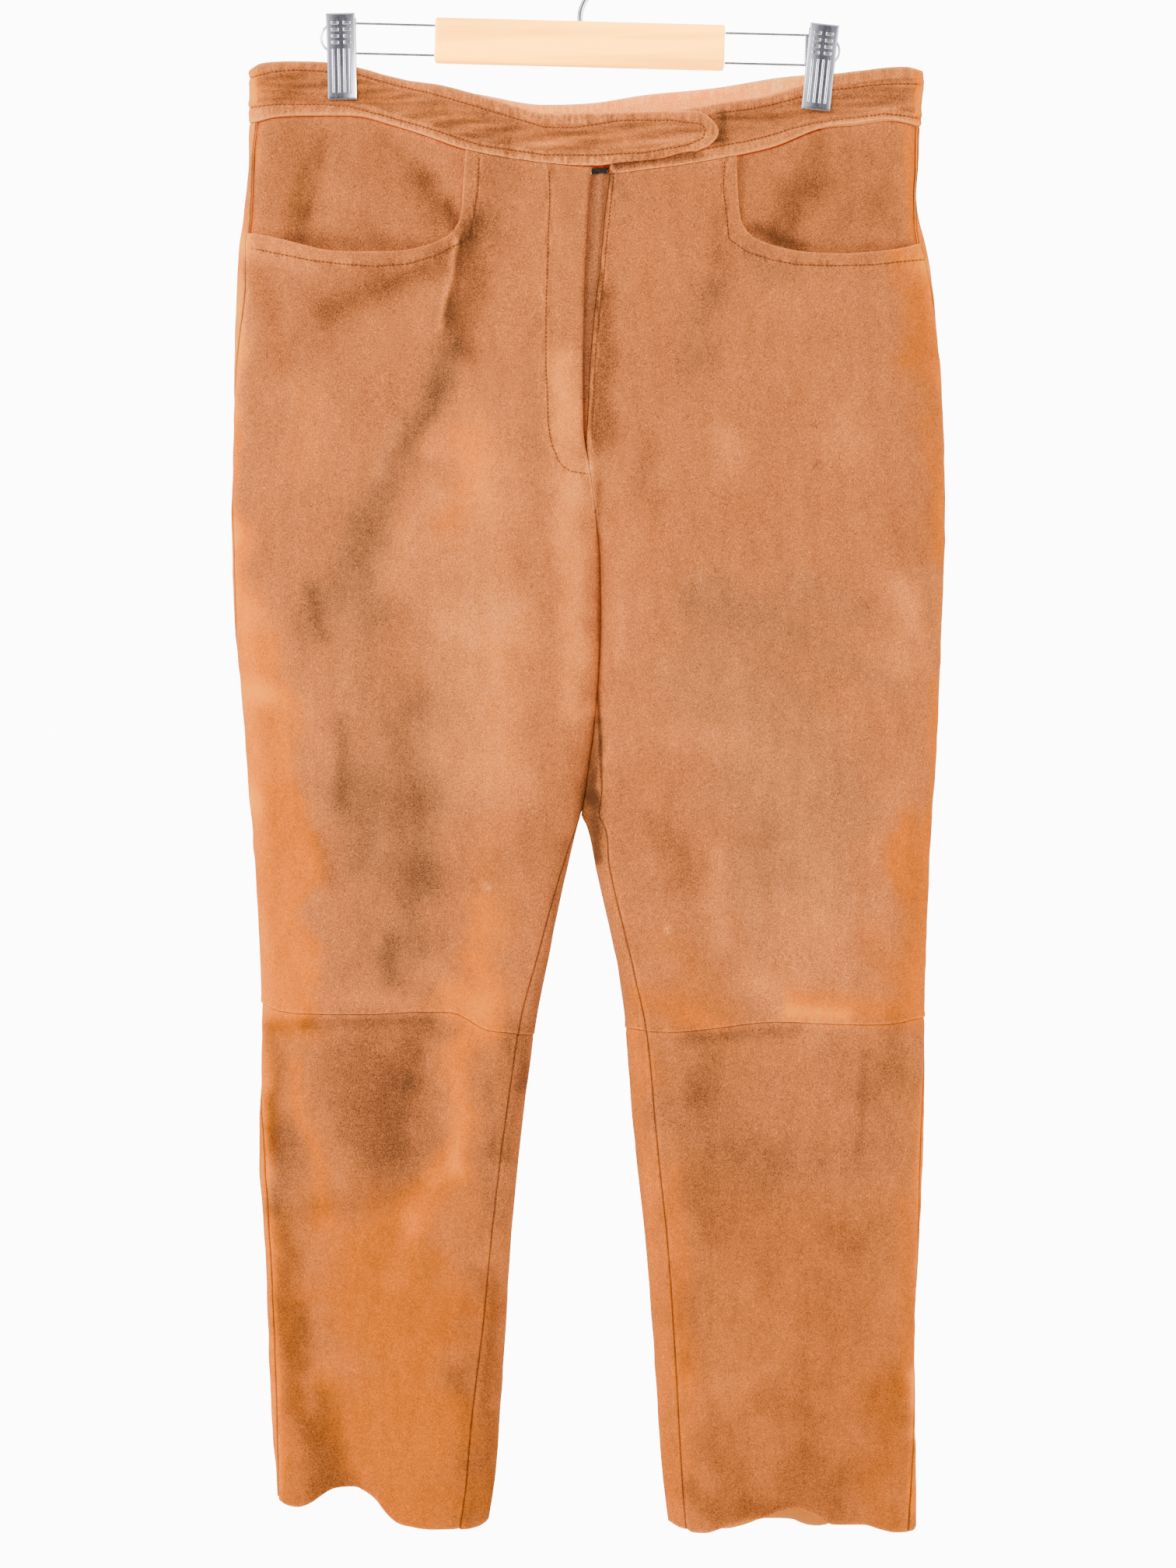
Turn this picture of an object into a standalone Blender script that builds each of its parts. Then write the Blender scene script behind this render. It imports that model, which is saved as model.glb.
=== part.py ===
"""Suede trousers hung by the waistband from a clip hanger. Metres, +Z up, front towards -Y.

The origin is the inside top of the hanger's hook. The wearer's right is -X. Each half of the garment is a loft of
rings: open at the centre above the crotch, closed round a leg below it. The panels are cut from that loft.
"""

import math
from collections import namedtuple

import bmesh
import bpy
import numpy as np

MM = 0.001
COLLECTION = "suede_trousers_on_clip_hanger"

PANEL_THICK = 1.6
BAND_THICK = 2.4
ZIP_THICK = 1.0
SEAM_GAP = 0.3
HIP_PIECE_DROP = 2.4
HIP_PIECE_TUCK = 16.0
HIP_PIECE_LEVEL, HIP_PIECE_SIDE_LEVEL, HIP_PIECE_FOOT_LEVEL = -190.0, -180.0, -215.0
HIP_PIECE_PAST_SIDE = 0.01

# How far the front panel stands off the hip piece at the pocket mouth, over which widths and heights.
MouthLift = namedtuple("MouthLift", "least most from_x to_x rows_from above below")
MOUTH_LIFT = MouthLift(0.6, 2.6, 120.0, 232.0, 115.0, 30.0, 42.0)

# Heights at which panels that meet along a leg share their rows.
UPPER_LEVELS = np.linspace(-240.0, -724.0, 17)
LOWER_LEVELS = np.linspace(-786.0, -1062.0, 11)

# Grids that the pieces are cut on. Lead and tail are steps above and below the shared rows.
PanelGrid = namedtuple("PanelGrid", "columns lead tail")
FRONT_LOWER_GRID = PanelGrid(24, 1, 2)
BACK_UPPER_GRID = PanelGrid(22, 4, 1)
BACK_LOWER_GRID = PanelGrid(22, 1, 2)
FrontGrid = namedtuple("FrontGrid", "inner outer to_mouth lead tail")
FRONT_UPPER_GRID = FrontGrid(9, 13, 4, 1, 1)
HIP_COLUMNS, HIP_ROWS = 16, 8
BandGrid = namedtuple("BandGrid", "columns rows")
RIGHT_BAND_GRID, TAB_COLUMNS = BandGrid(19, 5), 14
LEFT_BAND_GRID = BandGrid(24, 4)
BACK_BAND_GRID = BandGrid(22, 4)
FLY_COLUMNS = 6

RING_STEP = 3.0
RING_TOP, RING_FOOT = -82.0, -1124.0
RING_SAMPLES = 81
OPEN_SAMPLES, CLOSED_SAMPLES = 400, 800
TURN_WEIGHT = 26.0

# Steps in which the height of an edge drawn from the front settles where a column of a grid meets it, and heights
# that they start from.
SETTLE_STEPS = 4
SEAM_GUESS, BAND_TOP_GUESS, BAND_FOOT_GUESS, KNEE_GUESS, HEM_GUESS = -160.0, -110.0, -140.0, -755.0, -1096.0

# The front and back waistbands meet a little behind the side, as t, with half a gap each way.
BAND_JOINT, BAND_JOINT_GAP = 0.08, 0.004
# The right front band leaves its own half at TAB_FROM, as t, and runs straight to TAB_STRAIGHT_TO.
TAB_FROM, TAB_FROM_LEVEL, TAB_STRAIGHT_TO = -0.86, -150.0, 80.0
TAB_RISES_FROM, TAB_RISES_TO, TAB_CLEAR = -26.0, 16.0, 0.42

# Outline of the garment from the front. Heights and widths in millimetres from the hook's inside top.
Outline = namedtuple("Outline", "z right_out right_in left_in left_out")
OUTLINE = (
    Outline(-85, -227.5, 9.4, 21.3, 236.5),
    Outline(-96, -228.7, 9.4, 21.3, 238.0),
    Outline(-132, -229.0, 9.4, 21.3, 236.0),
    Outline(-162, -229.8, 9.0, 21.3, 234.6),
    Outline(-176, -231.0, 6.9, 20.0, 233.6),
    Outline(-198, -233.4, 5.2, 17.0, 235.0),
    Outline(-216, -236.0, 4.4, 15.6, 239.6),
    Outline(-230, -237.0, 3.6, 14.4, 242.7),
    Outline(-273, -239.0, 2.6, 9.2, 247.4),
    Outline(-306, -240.2, 2.0, 6.8, 250.8),
    Outline(-340, -240.5, 2.3, 5.2, 252.6),
    Outline(-356, -240.6, 3.4, 4.4, 253.2),
    Outline(-372, -240.7, 6.6, 7.2, 253.5),
    Outline(-402, -241.6, 10.9, 11.6, 253.5),
    Outline(-440, -241.2, 14.1, 14.8, 252.5),
    Outline(-478, -239.6, 14.4, 15.1, 251.2),
    Outline(-513, -236.4, 13.3, 14.0, 250.0),
    Outline(-540, -234.0, 11.2, 12.8, 248.8),
    Outline(-565, -232.2, 8.2, 11.0, 248.0),
    Outline(-597, -229.8, 3.4, 6.6, 246.0),
    Outline(-619, -227.6, -1.4, 4.4, 244.4),
    Outline(-651, -225.5, -8.9, 11.4, 242.8),
    Outline(-716, -221.9, -22.4, 25.6, 240.6),
    Outline(-748, -220.6, -28.9, 30.0, 239.5),
    Outline(-813, -221.6, -38.0, 35.4, 238.9),
    Outline(-846, -222.0, -41.9, 38.6, 238.4),
    Outline(-910, -218.6, -47.8, 45.6, 235.2),
    Outline(-975, -216.2, -51.6, 50.5, 232.6),
    Outline(-1040, -213.0, -55.9, 54.8, 232.4),
    Outline(-1072, -210.4, -58.6, 57.5, 233.4),
    Outline(-1103, -209.0, -63.4, 61.3, 234.2),
    Outline(-1124, -208.6, -66.0, 64.0, 234.4),
)

# Half depths, how square the ring is, and how far the two halves are closed into legs.
Body = namedtuple("Body", "z front back square closed")
BODY = (
    Body(-85, 17, 13, 2.2, 0.0),
    Body(-130, 20, 15, 2.2, 0.0),
    Body(-166, 22, 18, 2.2, 0.0),
    Body(-230, 23, 24, 2.3, 0.0),
    Body(-300, 24, 29, 2.3, 0.0),
    Body(-372, 25, 30, 2.3, 0.0),
    Body(-392, 25.5, 30, 2.3, 0.22),
    Body(-418, 26, 29, 2.3, 0.78),
    Body(-440, 26, 28, 2.3, 1.0),
    Body(-565, 25, 26, 2.3, 1.0),
    Body(-748, 22, 22, 2.3, 1.0),
    Body(-910, 18, 18, 2.3, 1.0),
    Body(-1040, 16, 17, 2.3, 1.0),
    Body(-1124, 15, 16, 2.3, 1.0),
)

# Each clip holds the cloth flat down to its grip height.
Clip = namedtuple("Clip", "x bottom lean grip")
CLIP_RIGHT = Clip(-164.6, -115.2, -1.2, -117.0)
CLIP_LEFT = Clip(163.6, -122.4, 6.0, -126.4)
PINCH_FLAT, PINCH_REACH = 22.0, 72.0
PINCH_FADE = 92.0
PINCH_LEAST, UNDER_PINCH_LEAST, UNDER_PINCH_DROP = 0.15, 4.6, 9.0

# Soft folds: a line on the front or back face, its half width and height. Troughs have a minus height.
Fold = namedtuple("Fold", "face x_top z_top x_low z_low wide high")
FOLDS = (
    Fold("front", -88, -226, -100, -352, 13, 2.6),
    Fold("front", -112, -236, -124, -420, 20, -2.4),
    Fold("front", -150, -380, -138, -640, 22, 3.2),
    Fold("front", -112, -380, -118, -700, 17, -4.2),
    Fold("front", -72, -470, -86, -700, 18, 2.8),
    Fold("front", -190, -520, -184, -700, 16, -2.4),
    Fold("front", -112, -768, -124, -930, 15, -4.0),
    Fold("front", -152, -780, -156, -1000, 18, 2.6),
    Fold("front", -74, -790, -84, -1010, 16, 2.4),
    Fold("front", -156, -1010, -156, -1110, 15, -3.4),
    Fold("front", -106, -960, -96, -1110, 20, 2.4),
    Fold("front", -120, -612, -30, -640, 12, -2.4),
    Fold("front", -200, -636, -130, -622, 11, -2.2),
    Fold("front", 44, -196, 34, -400, 24, 2.6),
    Fold("front", 112, -226, 122, -380, 14, 2.2),
    Fold("front", 150, -380, 158, -700, 22, 3.0),
    Fold("front", 92, -420, 100, -640, 20, -3.2),
    Fold("front", 52, -560, 84, -700, 15, 2.4),
    Fold("front", 196, -500, 200, -720, 15, -2.4),
    Fold("front", 82, -634, 210, -626, 11, -2.6),
    Fold("front", 130, -776, 140, -980, 17, -3.2),
    Fold("front", 92, -790, 100, -1000, 16, 2.4),
    Fold("front", 186, -800, 188, -1000, 16, 2.4),
    Fold("front", 148, -990, 148, -1110, 16, 3.6),
    Fold("back", -120, -190, -124, -360, 22, 3.0),
    Fold("back", 128, -190, 132, -360, 22, 3.0),
    Fold("back", -60, -396, -160, -452, 13, -3.4),
    Fold("back", 84, -400, 186, -458, 13, -3.4),
    Fold("back", -132, -480, -128, -700, 20, -3.6),
    Fold("back", 138, -480, 140, -690, 20, -3.4),
    Fold("back", -190, -500, -182, -720, 16, 2.4),
    Fold("back", 196, -500, 190, -720, 16, 2.4),
    Fold("back", -60, -636, -170, -652, 12, -2.8),
    Fold("back", 70, -646, 184, -634, 12, -2.8),
    Fold("back", -124, -780, -132, -1000, 17, -3.0),
    Fold("back", 134, -780, 140, -1000, 17, -3.0),
)

# Edges as seen from the front: each row is a place, with its columns x and z.
Place = namedtuple("Place", "x z")


def edge(*rows):
    return tuple(Place(*row) for row in rows)


BAND_TOP_RIGHT = edge(
    (-229, -95), (-222, -91.6), (-213, -90.2), (-188, -89.2), (-154, -93.4), (-120, -103.4),
    (-92, -109.6), (-68, -116.4), (-46, -123.4), (-25, -128.8), (0, -129.4), (28, -129), (63, -128),
    (77, -127.8),
)
# The tab's round end.
TabRow = namedtuple("TabRow", "x high low")
TAB_END = (TabRow(86.5, -130.2, -152.8), TabRow(92.2, -135.2, -148.6), TabRow(94.6, -139.4, -145.0))
BAND_FOOT_RIGHT = edge(
    (-229, -132.2), (-210, -128.6), (-175, -127.2), (-153, -128), (-130, -134.5), (-108, -142.7),
    (-86, -151.2), (-68, -156), (-25, -163), (10, -165.3), (28, -163.4), (55, -160.6), (77, -155.8),
)
BAND_TOP_LEFT = edge(
    (21, -131), (50, -130), (64, -127.4), (86, -123.6), (99, -120.9), (122, -115.6), (151, -106.7),
    (176, -98.8), (204, -95), (226, -94), (238, -96),
)
BAND_FOOT_LEFT = edge(
    (21, -170.4), (46, -167.6), (81, -162.7), (108, -157), (134, -149.5), (169, -135.8), (187, -133.9),
    (214, -131), (238, -134.4),
)
BAND_TOP_BACK = edge(
    (-229, -95), (-188, -91), (-153, -95), (-120, -101), (-69, -109.6), (-25, -116.4), (10, -115.1),
    (46, -109.6), (81, -106.4), (116, -102.6), (151, -98.8), (176, -97.4), (204, -94.6), (238, -96),
)
BAND_FOOT_BACK = edge(
    (-229, -132.2), (-188, -128.6), (-153, -131), (-120, -137), (-69, -146.6), (-25, -153.4),
    (10, -152.1), (46, -146.6), (81, -143.4), (116, -139.6), (151, -135.8), (176, -134.4),
    (204, -132.6), (238, -134.4),
)
# Pocket mouths: an upright edge, a corner at row MOUTH_CORNER, then the lower edge out to the side.
MOUTH_CORNER = 4
MOUTH_RIGHT = edge(
    (-78.6, -153.6), (-79.8, -172), (-81, -190), (-82.2, -201), (-85.6, -209.6), (-93, -215),
    (-108, -220.6), (-130, -223.8), (-153, -223.9), (-175, -222.5), (-191, -218.5), (-208, -214),
    (-224, -210.6), (-240, -209.4),
)
MOUTH_LEFT = edge(
    (107.6, -157.2), (108.1, -174), (109.2, -190), (110.4, -201), (114.2, -211), (121.5, -215.6),
    (134, -220.1), (151, -223.8), (178, -225.2), (204, -223.3), (222, -220.6), (236, -216.6),
    (244, -215.6),
)
KNEE_RIGHT_FRONT = edge(
    (-221, -742), (-207, -747), (-176, -749), (-145, -749), (-113, -747.4), (-90, -747.6), (-78, -752),
    (-66, -759.4), (-50, -762), (-29, -764),
)
KNEE_LEFT_FRONT = edge(
    (30, -759.4), (45, -761), (62, -761.5), (95, -758.4), (114, -755.8), (135, -754.2), (176, -755.8),
    (200, -756.4), (216, -755.8), (240, -752),
)
KNEE_RIGHT_BACK = edge(
    (-221, -742), (-180, -751), (-120, -755), (-66, -761), (-29, -764),
)
KNEE_LEFT_BACK = edge(
    (30, -759.4), (80, -764), (140, -762), (200, -756), (240, -752),
)
HEM_RIGHT_FRONT = edge(
    (-210, -1088), (-195, -1090.5), (-185.5, -1087.3), (-177.4, -1081.4), (-170, -1077.2),
    (-156.3, -1076), (-148.8, -1078.7), (-140.7, -1084.6), (-134.2, -1093.2), (-126.6, -1100.1),
    (-115.8, -1103.4), (-99, -1105.5), (-88.3, -1105.4), (-72.6, -1102.8), (-65, -1099.6),
    (-61, -1096),
)
HEM_RIGHT_BACK = edge(
    (-210, -1088), (-186, -1085), (-158, -1079), (-132, -1086), (-104, -1096), (-76, -1098),
    (-61, -1096),
)
HEM_LEFT_FRONT = edge(
    (60, -1101.6), (72.1, -1103.9), (79.1, -1108), (86.1, -1108.2), (100.2, -1103.9), (114.8, -1099.6),
    (128.8, -1096.4), (138.5, -1091.6), (148.8, -1090), (156.9, -1092.6), (165.5, -1096.9),
    (174, -1101.6), (196.8, -1102.3), (206.6, -1105.5), (217.9, -1108.2), (235, -1108.6),
)
HEM_LEFT_BACK = edge(
    (60, -1101.6), (80, -1106), (102, -1110.4), (115, -1107.8), (129, -1103.5), (147, -1103.9),
    (157, -1107.8), (166, -1108.8), (190, -1103), (210, -1105.4), (235, -1108.6),
)
# Centre back seam, in z and x.
BACK_SEAM = ((-440, 14.45), (-402, 11.25), (-372, 7.6), (-320, 6), (-85, 6))
BACK_SEAM_FOOT = -439.0
# The side seams as seen from the front, by height. They never pass the outline.
SIDE_SEAM_RIGHT = ((-85, -224.5), (-132, -223.6), (-156, -226), (-200, -227.6), (-216, -229.6), (-250, -231),
                   (-300, -237.2), (-360, -239.6), (-500, -236.4), (-1124, -207.4))
SIDE_SEAM_LEFT = ((-85, 234.6), (-200, 232), (-250, 242.6), (-360, 252.2), (-748, 238.4), (-975, 231.2),
                  (-1061, 229.4), (-1124, 226.6))
# How far the inseams lie in from the inner outline, by height: lower down they show on the front.
INSEAM_RIGHT = ((-440, 0), (-600, 0), (-651, 3.2), (-716, 7.6), (-748, 9.8), (-804, 10.6), (-950, 14.0),
                (-1051, 18.6), (-1124, 17.4))
INSEAM_LEFT = ((-440, 0), (-575, 0), (-604, 5.2), (-619, 9.4), (-651, 8.8), (-716, 9.7), (-762, 13.6),
               (-804, 14.6), (-950, 13.8), (-1061, 12.6), (-1124, 10.6))

BAR = namedtuple("BarSizes", "long deep high centre_z tilt bevel")(201.0, 12.0, 30.6, -77.1, 1.5, 2.0)
WIRE = namedtuple("WireSizes", "thick reach_right reach_left apart bend_points")(1.7, -179.7, 180.3, 20.8, 13)
# The hook's shank rises in a bend of its own radius, which meets the large bend at start_angle.
HookSizes = namedtuple("HookSizes", "thick inner_radius start_angle end_angle clear shank_points bend_points")
HOOK = HookSizes(4.0, 20.0, -58.0, 204.0, 0.4, 7, 26)
# A jaw's inner face by height and how far it stands out there, and its lip by distance out from it and height.
JAW = namedtuple("JawSizes", "wide thick clear")(20.0, 1.1, 0.48)
JawRow = namedtuple("JawRow", "out z")
JAW_FACE = (JawRow(0.0, 0.0), JawRow(0.0, 26.0), JawRow(1.0, 46.0), JawRow(5.0, 58.0))
JAW_LIP = (JawRow(1.1, 1.6), JawRow(2.0, -0.6), JawRow(0.5, -1.2))
CORE = namedtuple("CoreSizes", "wide clear bevel")(15.0, 0.1, 0.6)

# The shield narrows to its foot. The zip tape lies behind the right front; its top end crosses to the left.
SHIELD = namedtuple("ShieldSizes", "wide foot_wide narrows_from narrows_to")(34.0, 20.0, -340.0, -372.0)
SHIELD_LEVELS = (-166.6, -180, -210, -240, -270, -300, -330, -352, -370)
TAPE = namedtuple("TapeSizes", "wide behind_edge end_reach crosses_from crosses_to")(15.0, 1.0, 12.0, -176.0, -170.0)
TAPE_LEVELS = (-166.6, -171, -176, -184, -210, -250, -300, -350)

# Base colour, roughness and metallic of each finish.
Finish = namedtuple("Finish", "name red green blue rough metal")
SUEDE = Finish("suede", 0.58, 0.28, 0.13, 0.95, 0.0)
SUEDE_DEEP = Finish("suede_shield", 0.44, 0.18, 0.09, 0.95, 0.0)
ZIP = Finish("zip_tape_black", 0.03, 0.025, 0.02, 0.9, 0.0)
WOOD = Finish("pale_wood", 0.86, 0.68, 0.48, 0.55, 0.0)
STEEL = Finish("bright_steel", 0.75, 0.75, 0.77, 0.2, 1.0)


def clear_scene():
    for obj in list(bpy.data.objects):
        bpy.data.objects.remove(obj, do_unlink=True)


def make_collection():
    collection = bpy.data.collections.new(COLLECTION)
    bpy.context.scene.collection.children.link(collection)
    return collection


def add_finish(obj, finish):
    """Gives the object a Principled material of its own."""
    material = bpy.data.materials.new(f"{obj.name}_{finish.name}")
    material.use_nodes = True
    shader = material.node_tree.nodes["Principled BSDF"]
    shader.inputs["Base Color"].default_value = (finish.red, finish.green, finish.blue, 1.0)
    shader.inputs["Roughness"].default_value = finish.rough
    shader.inputs["Metallic"].default_value = finish.metal
    obj.data.materials.clear()
    obj.data.materials.append(material)


def along(rows, at):
    """Smooth curve through rows of (where, value), held level past its ends and never past a row's value."""
    rows = sorted(rows)
    xs = np.array([row[0] for row in rows], float)
    ys = np.array([row[1] for row in rows], float)
    steps = np.diff(ys) / np.diff(xs)
    slopes = np.zeros_like(ys)
    same_way = steps[:-1] * steps[1:] > 0
    mean = 0.5 * (steps[:-1] + steps[1:])
    least = np.minimum(np.abs(steps[:-1]), np.abs(steps[1:]))
    slopes[1:-1] = np.where(same_way, np.sign(mean) * np.minimum(np.abs(mean), 3 * least), 0.0)
    at = np.clip(np.asarray(at, float), xs[0], xs[-1])
    k = np.clip(np.searchsorted(xs, at) - 1, 0, len(xs) - 2)
    wide = xs[k + 1] - xs[k]
    u = (at - xs[k]) / wide
    return (ys[k] * (1 + 2 * u) * (1 - u) ** 2 + ys[k + 1] * u * u * (3 - 2 * u)
            + wide * (slopes[k] * u * (1 - u) ** 2 + slopes[k + 1] * u * u * (u - 1)))


def column(table, name, at):
    """A named column of a table by height."""
    return along([(row.z, getattr(row, name)) for row in table], at)


def ease(value, start, end):
    u = np.clip((np.asarray(value, float) - start) / (end - start), 0.0, 1.0)
    return u * u * (3 - 2 * u)


def respaced(points, count):
    """The curve with count points, closer together where it turns."""
    step = np.diff(points, axis=0)
    length = np.hypot(step[:, 0], step[:, 1])
    angle = np.unwrap(np.arctan2(step[:, 1], step[:, 0]))
    turn = np.abs(np.diff(angle, append=angle[-1]))
    weight = np.concatenate([[0.0], np.cumsum(length + TURN_WEIGHT * turn)])
    at = np.linspace(0.0, weight[-1], count)
    return np.stack([np.interp(at, weight, points[:, 0]), np.interp(at, weight, points[:, 1])], axis=1)


def fold_height(face, x, z):
    """How far the soft folds lift this place of the front or back face."""
    lift = np.zeros_like(np.asarray(x, float))
    for fold in FOLDS:
        if fold.face != face:
            continue
        run = np.array([fold.x_low - fold.x_top, fold.z_low - fold.z_top], float)
        long = np.hypot(*run)
        run /= long
        dx, dz = x - fold.x_top, z - fold.z_top
        across = dx * run[1] - dz * run[0]
        down = dx * run[0] + dz * run[1]
        ends = ease(down, -0.12 * long, 0.3 * long) * (1 - ease(down, 0.7 * long, 1.12 * long))
        lift += fold.high * ends * np.exp(-((across / fold.wide) ** 2))
    return lift


def pinch(x, z):
    """How far a clip presses front and back together, 1 to 0, and the least half depth that it leaves."""
    held, least = np.zeros_like(x), np.full_like(x, PINCH_LEAST)
    for clip in (CLIP_RIGHT, CLIP_LEFT):
        near = 1 - ease(np.abs(x - clip.x), PINCH_FLAT, PINCH_REACH)
        held = np.maximum(held, near * ease(z, clip.grip - PINCH_FADE, clip.grip))
        below = 1 - ease(z, clip.grip - UNDER_PINCH_DROP, clip.grip)
        on_side = x * clip.x > 0
        least = np.where(on_side, PINCH_LEAST + (UNDER_PINCH_LEAST - PINCH_LEAST) * below, least)
    return held, least


class Half:
    """One half of the garment: the inside face of its cloth as rings of t at each height.

    t runs from -1 (centre front or inner leg) over 0 (the side) to 1 (centre back or inner leg).
    """

    def __init__(self, side):
        self.side = side
        self.sign = -1.0 if side == "right" else 1.0
        self.t = np.linspace(-1.0, 1.0, 2 * RING_SAMPLES - 1)
        self.z = np.arange(RING_FOOT, RING_TOP + RING_STEP, RING_STEP)
        rings = np.stack([self.ring(z) for z in self.z])
        self.place_table = rings
        self.normal_table = self.normals(rings)

    def ring(self, z):
        inner = float(column(OUTLINE, self.side + "_in", z))
        outer = float(column(OUTLINE, self.side + "_out", z)) - self.sign * PANEL_THICK
        closed = float(column(BODY, "closed", z))
        square = 2.0 / float(column(BODY, "square", z))
        inner += self.sign * PANEL_THICK * float(ease(closed, 0.0, 1.0))
        faces = []
        for face, facing in (("front", -1.0), ("back", 1.0)):
            deep = float(column(BODY, face, z))
            centre = inner
            if face == "back":
                seam = float(along(BACK_SEAM, z)) + self.sign * 0.5 * SEAM_GAP
                seam += self.sign * PANEL_THICK * float(ease(closed, 0.0, 1.0))
                centre = seam + (inner - seam) * float(ease(closed, 0.6, 1.0))
            turn = np.linspace(0.5 * math.pi, 0.0, OPEN_SAMPLES)
            open_curve = np.stack([centre + (outer - centre) * np.cos(turn) ** square,
                                   facing * deep * np.sin(turn) ** square], axis=1)
            turn = np.linspace(math.pi, 0.0, CLOSED_SAMPLES)
            bend = np.sign(np.cos(turn)) * np.abs(np.cos(turn)) ** square
            closed_curve = np.stack([0.5 * (centre + outer) + 0.5 * (outer - centre) * bend,
                                     facing * deep * np.abs(np.sin(turn)) ** square], axis=1)
            curve = ((1 - closed) * respaced(open_curve, RING_SAMPLES)
                     + closed * respaced(closed_curve, RING_SAMPLES))
            x, y = curve[:, 0], curve[:, 1]
            flat = np.clip(np.abs(y) / deep, 0.0, 1.0) ** 2
            height = np.abs(y) + fold_height(face, x, z) * flat
            hold, least = pinch(x, z)
            height = np.where(np.abs(y) > 0, height * (1 - hold) + hold * np.minimum(least, height), 0.0)
            faces.append(np.stack([x, facing * height, np.full_like(x, z)], axis=1))
        front, back = faces
        return np.concatenate([front, back[-2::-1]])

    def normals(self, rings):
        closed = np.array([float(column(BODY, "closed", z)) for z in self.z]) > 0.999
        across = np.gradient(rings, axis=1)
        wrap = rings[:, 1] - rings[:, -2]
        across[closed, 0] = wrap[closed]
        across[closed, -1] = wrap[closed]
        down = np.gradient(rings, axis=0)
        normal = np.cross(across, down) * self.sign
        return normal / np.linalg.norm(normal, axis=2, keepdims=True)

    def read(self, table, t, z):
        t = np.asarray(t, float)
        t = np.where(t > 1.0, t - 2.0, t)
        col = np.clip((t + 1.0) / 2.0 * (len(self.t) - 1), 0, len(self.t) - 1.000001)
        row = np.clip((np.asarray(z, float) - self.z[0]) / RING_STEP, 0, len(self.z) - 1.000001)
        c, r = col.astype(int), row.astype(int)
        u, v = (col - c)[..., None], (row - r)[..., None]
        low = table[r, c] * (1 - u) + table[r, c + 1] * u
        high = table[r + 1, c] * (1 - u) + table[r + 1, c + 1] * u
        return low * (1 - v) + high * v

    def place(self, t, z):
        return self.read(self.place_table, t, z)

    def normal(self, t, z):
        normal = self.read(self.normal_table, t, z)
        return normal / np.linalg.norm(normal, axis=-1, keepdims=True)

    def t_at(self, x, z):
        """t of the place on the front that lies at x, at one height."""
        t = self.t[:RING_SAMPLES]
        xs = self.place(t, np.full_like(t, z))[:, 0]
        order = np.argsort(xs)
        return float(np.interp(x, xs[order], t[order]))

    def inseam_t(self, z):
        """t of the inseam: it lies a little way round to the front lower down."""
        rows = INSEAM_RIGHT if self.side == "right" else INSEAM_LEFT
        inner = self.place(-1.0, z)[0]
        shift = float(along(rows, z))
        return self.t_at(inner + self.sign * shift, z) if shift > 0.05 else -1.0

    def side_t(self, z):
        rows = SIDE_SEAM_RIGHT if self.side == "right" else SIDE_SEAM_LEFT
        outer = self.place(0.0, z)[0]
        x = float(along(rows, z))
        x = min(x * self.sign, outer * self.sign - 0.05) * self.sign
        return self.t_at(x, z)


def sheet_solid(name, inside, outside, finish, collection, left_out=None):
    """A closed wall between two grids of points of the same size, in millimetres.

    left_out(row, column) is true for a cell that isn't cloth.
    """
    rows, cols = inside.shape[:2]
    points = np.concatenate([inside.reshape(-1, 3), outside.reshape(-1, 3)]) * MM
    count = rows * cols
    cells = []
    for r in range(rows - 1):
        for c in range(cols - 1):
            if not (left_out and left_out(r, c)):
                here = r * cols + c
                cells.append((here, here + 1, here + cols + 1, here + cols))
    rim = set()
    for cell in cells:
        for a, b in zip(cell, cell[1:] + cell[:1]):
            if (b, a) in rim:
                rim.remove((b, a))
            else:
                rim.add((a, b))
    faces = cells + [tuple(i + count for i in reversed(cell)) for cell in cells]
    faces += [(b, a, a + count, b + count) for a, b in sorted(rim)]
    used = sorted({i for face in faces for i in face})
    place = {old: new for new, old in enumerate(used)}
    mesh = bpy.data.meshes.new(name)
    mesh.from_pydata([tuple(points[i]) for i in used], [], [tuple(place[i] for i in face) for face in faces])
    work = bmesh.new()
    work.from_mesh(mesh)
    bmesh.ops.recalc_face_normals(work, faces=work.faces)
    if work.calc_volume(signed=True) < 0:
        bmesh.ops.reverse_faces(work, faces=work.faces)
    work.to_mesh(mesh)
    work.free()
    obj = bpy.data.objects.new(name, mesh)
    collection.objects.link(obj)
    mesh.shade_smooth()
    add_finish(obj, finish)
    return obj


def keep_own_side(half, points):
    """Holds the wall on its own side of the centre line where the two halves press together."""
    z = points[..., 2]
    limit = column(OUTLINE, half.side + "_in", z)
    back_seam = along(BACK_SEAM, z) + half.sign * 0.5 * SEAM_GAP
    limit = np.where((points[..., 1] > 0) & (z > BACK_SEAM_FOOT), back_seam, limit)
    points[..., 0] = half.sign * np.maximum(points[..., 0] * half.sign, limit * half.sign)
    return points


def cloth(name, half, t, z, finish, collection, raised=0.0, thick=PANEL_THICK, left_out=None):
    """A piece of the loft: a wall on the grid (t, z), out from its inside face."""
    place, normal = half.place(t, z), half.normal(t, z)
    inside = place + normal * np.broadcast_to(raised, np.shape(t))[..., None]
    outside = inside + normal * thick
    inside, outside = keep_own_side(half, inside), keep_own_side(half, outside)
    return sheet_solid(name, inside, outside, finish, collection, left_out)


def spread(count):
    return np.linspace(0.0, 1.0, count)


def edge_z(rows, half, t, start):
    """Height of an edge drawn from the front where the column t meets it."""
    z = float(start)
    for _ in range(SETTLE_STEPS):
        z = float(along(rows, half.place(t, z)[0]))
    return z


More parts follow.
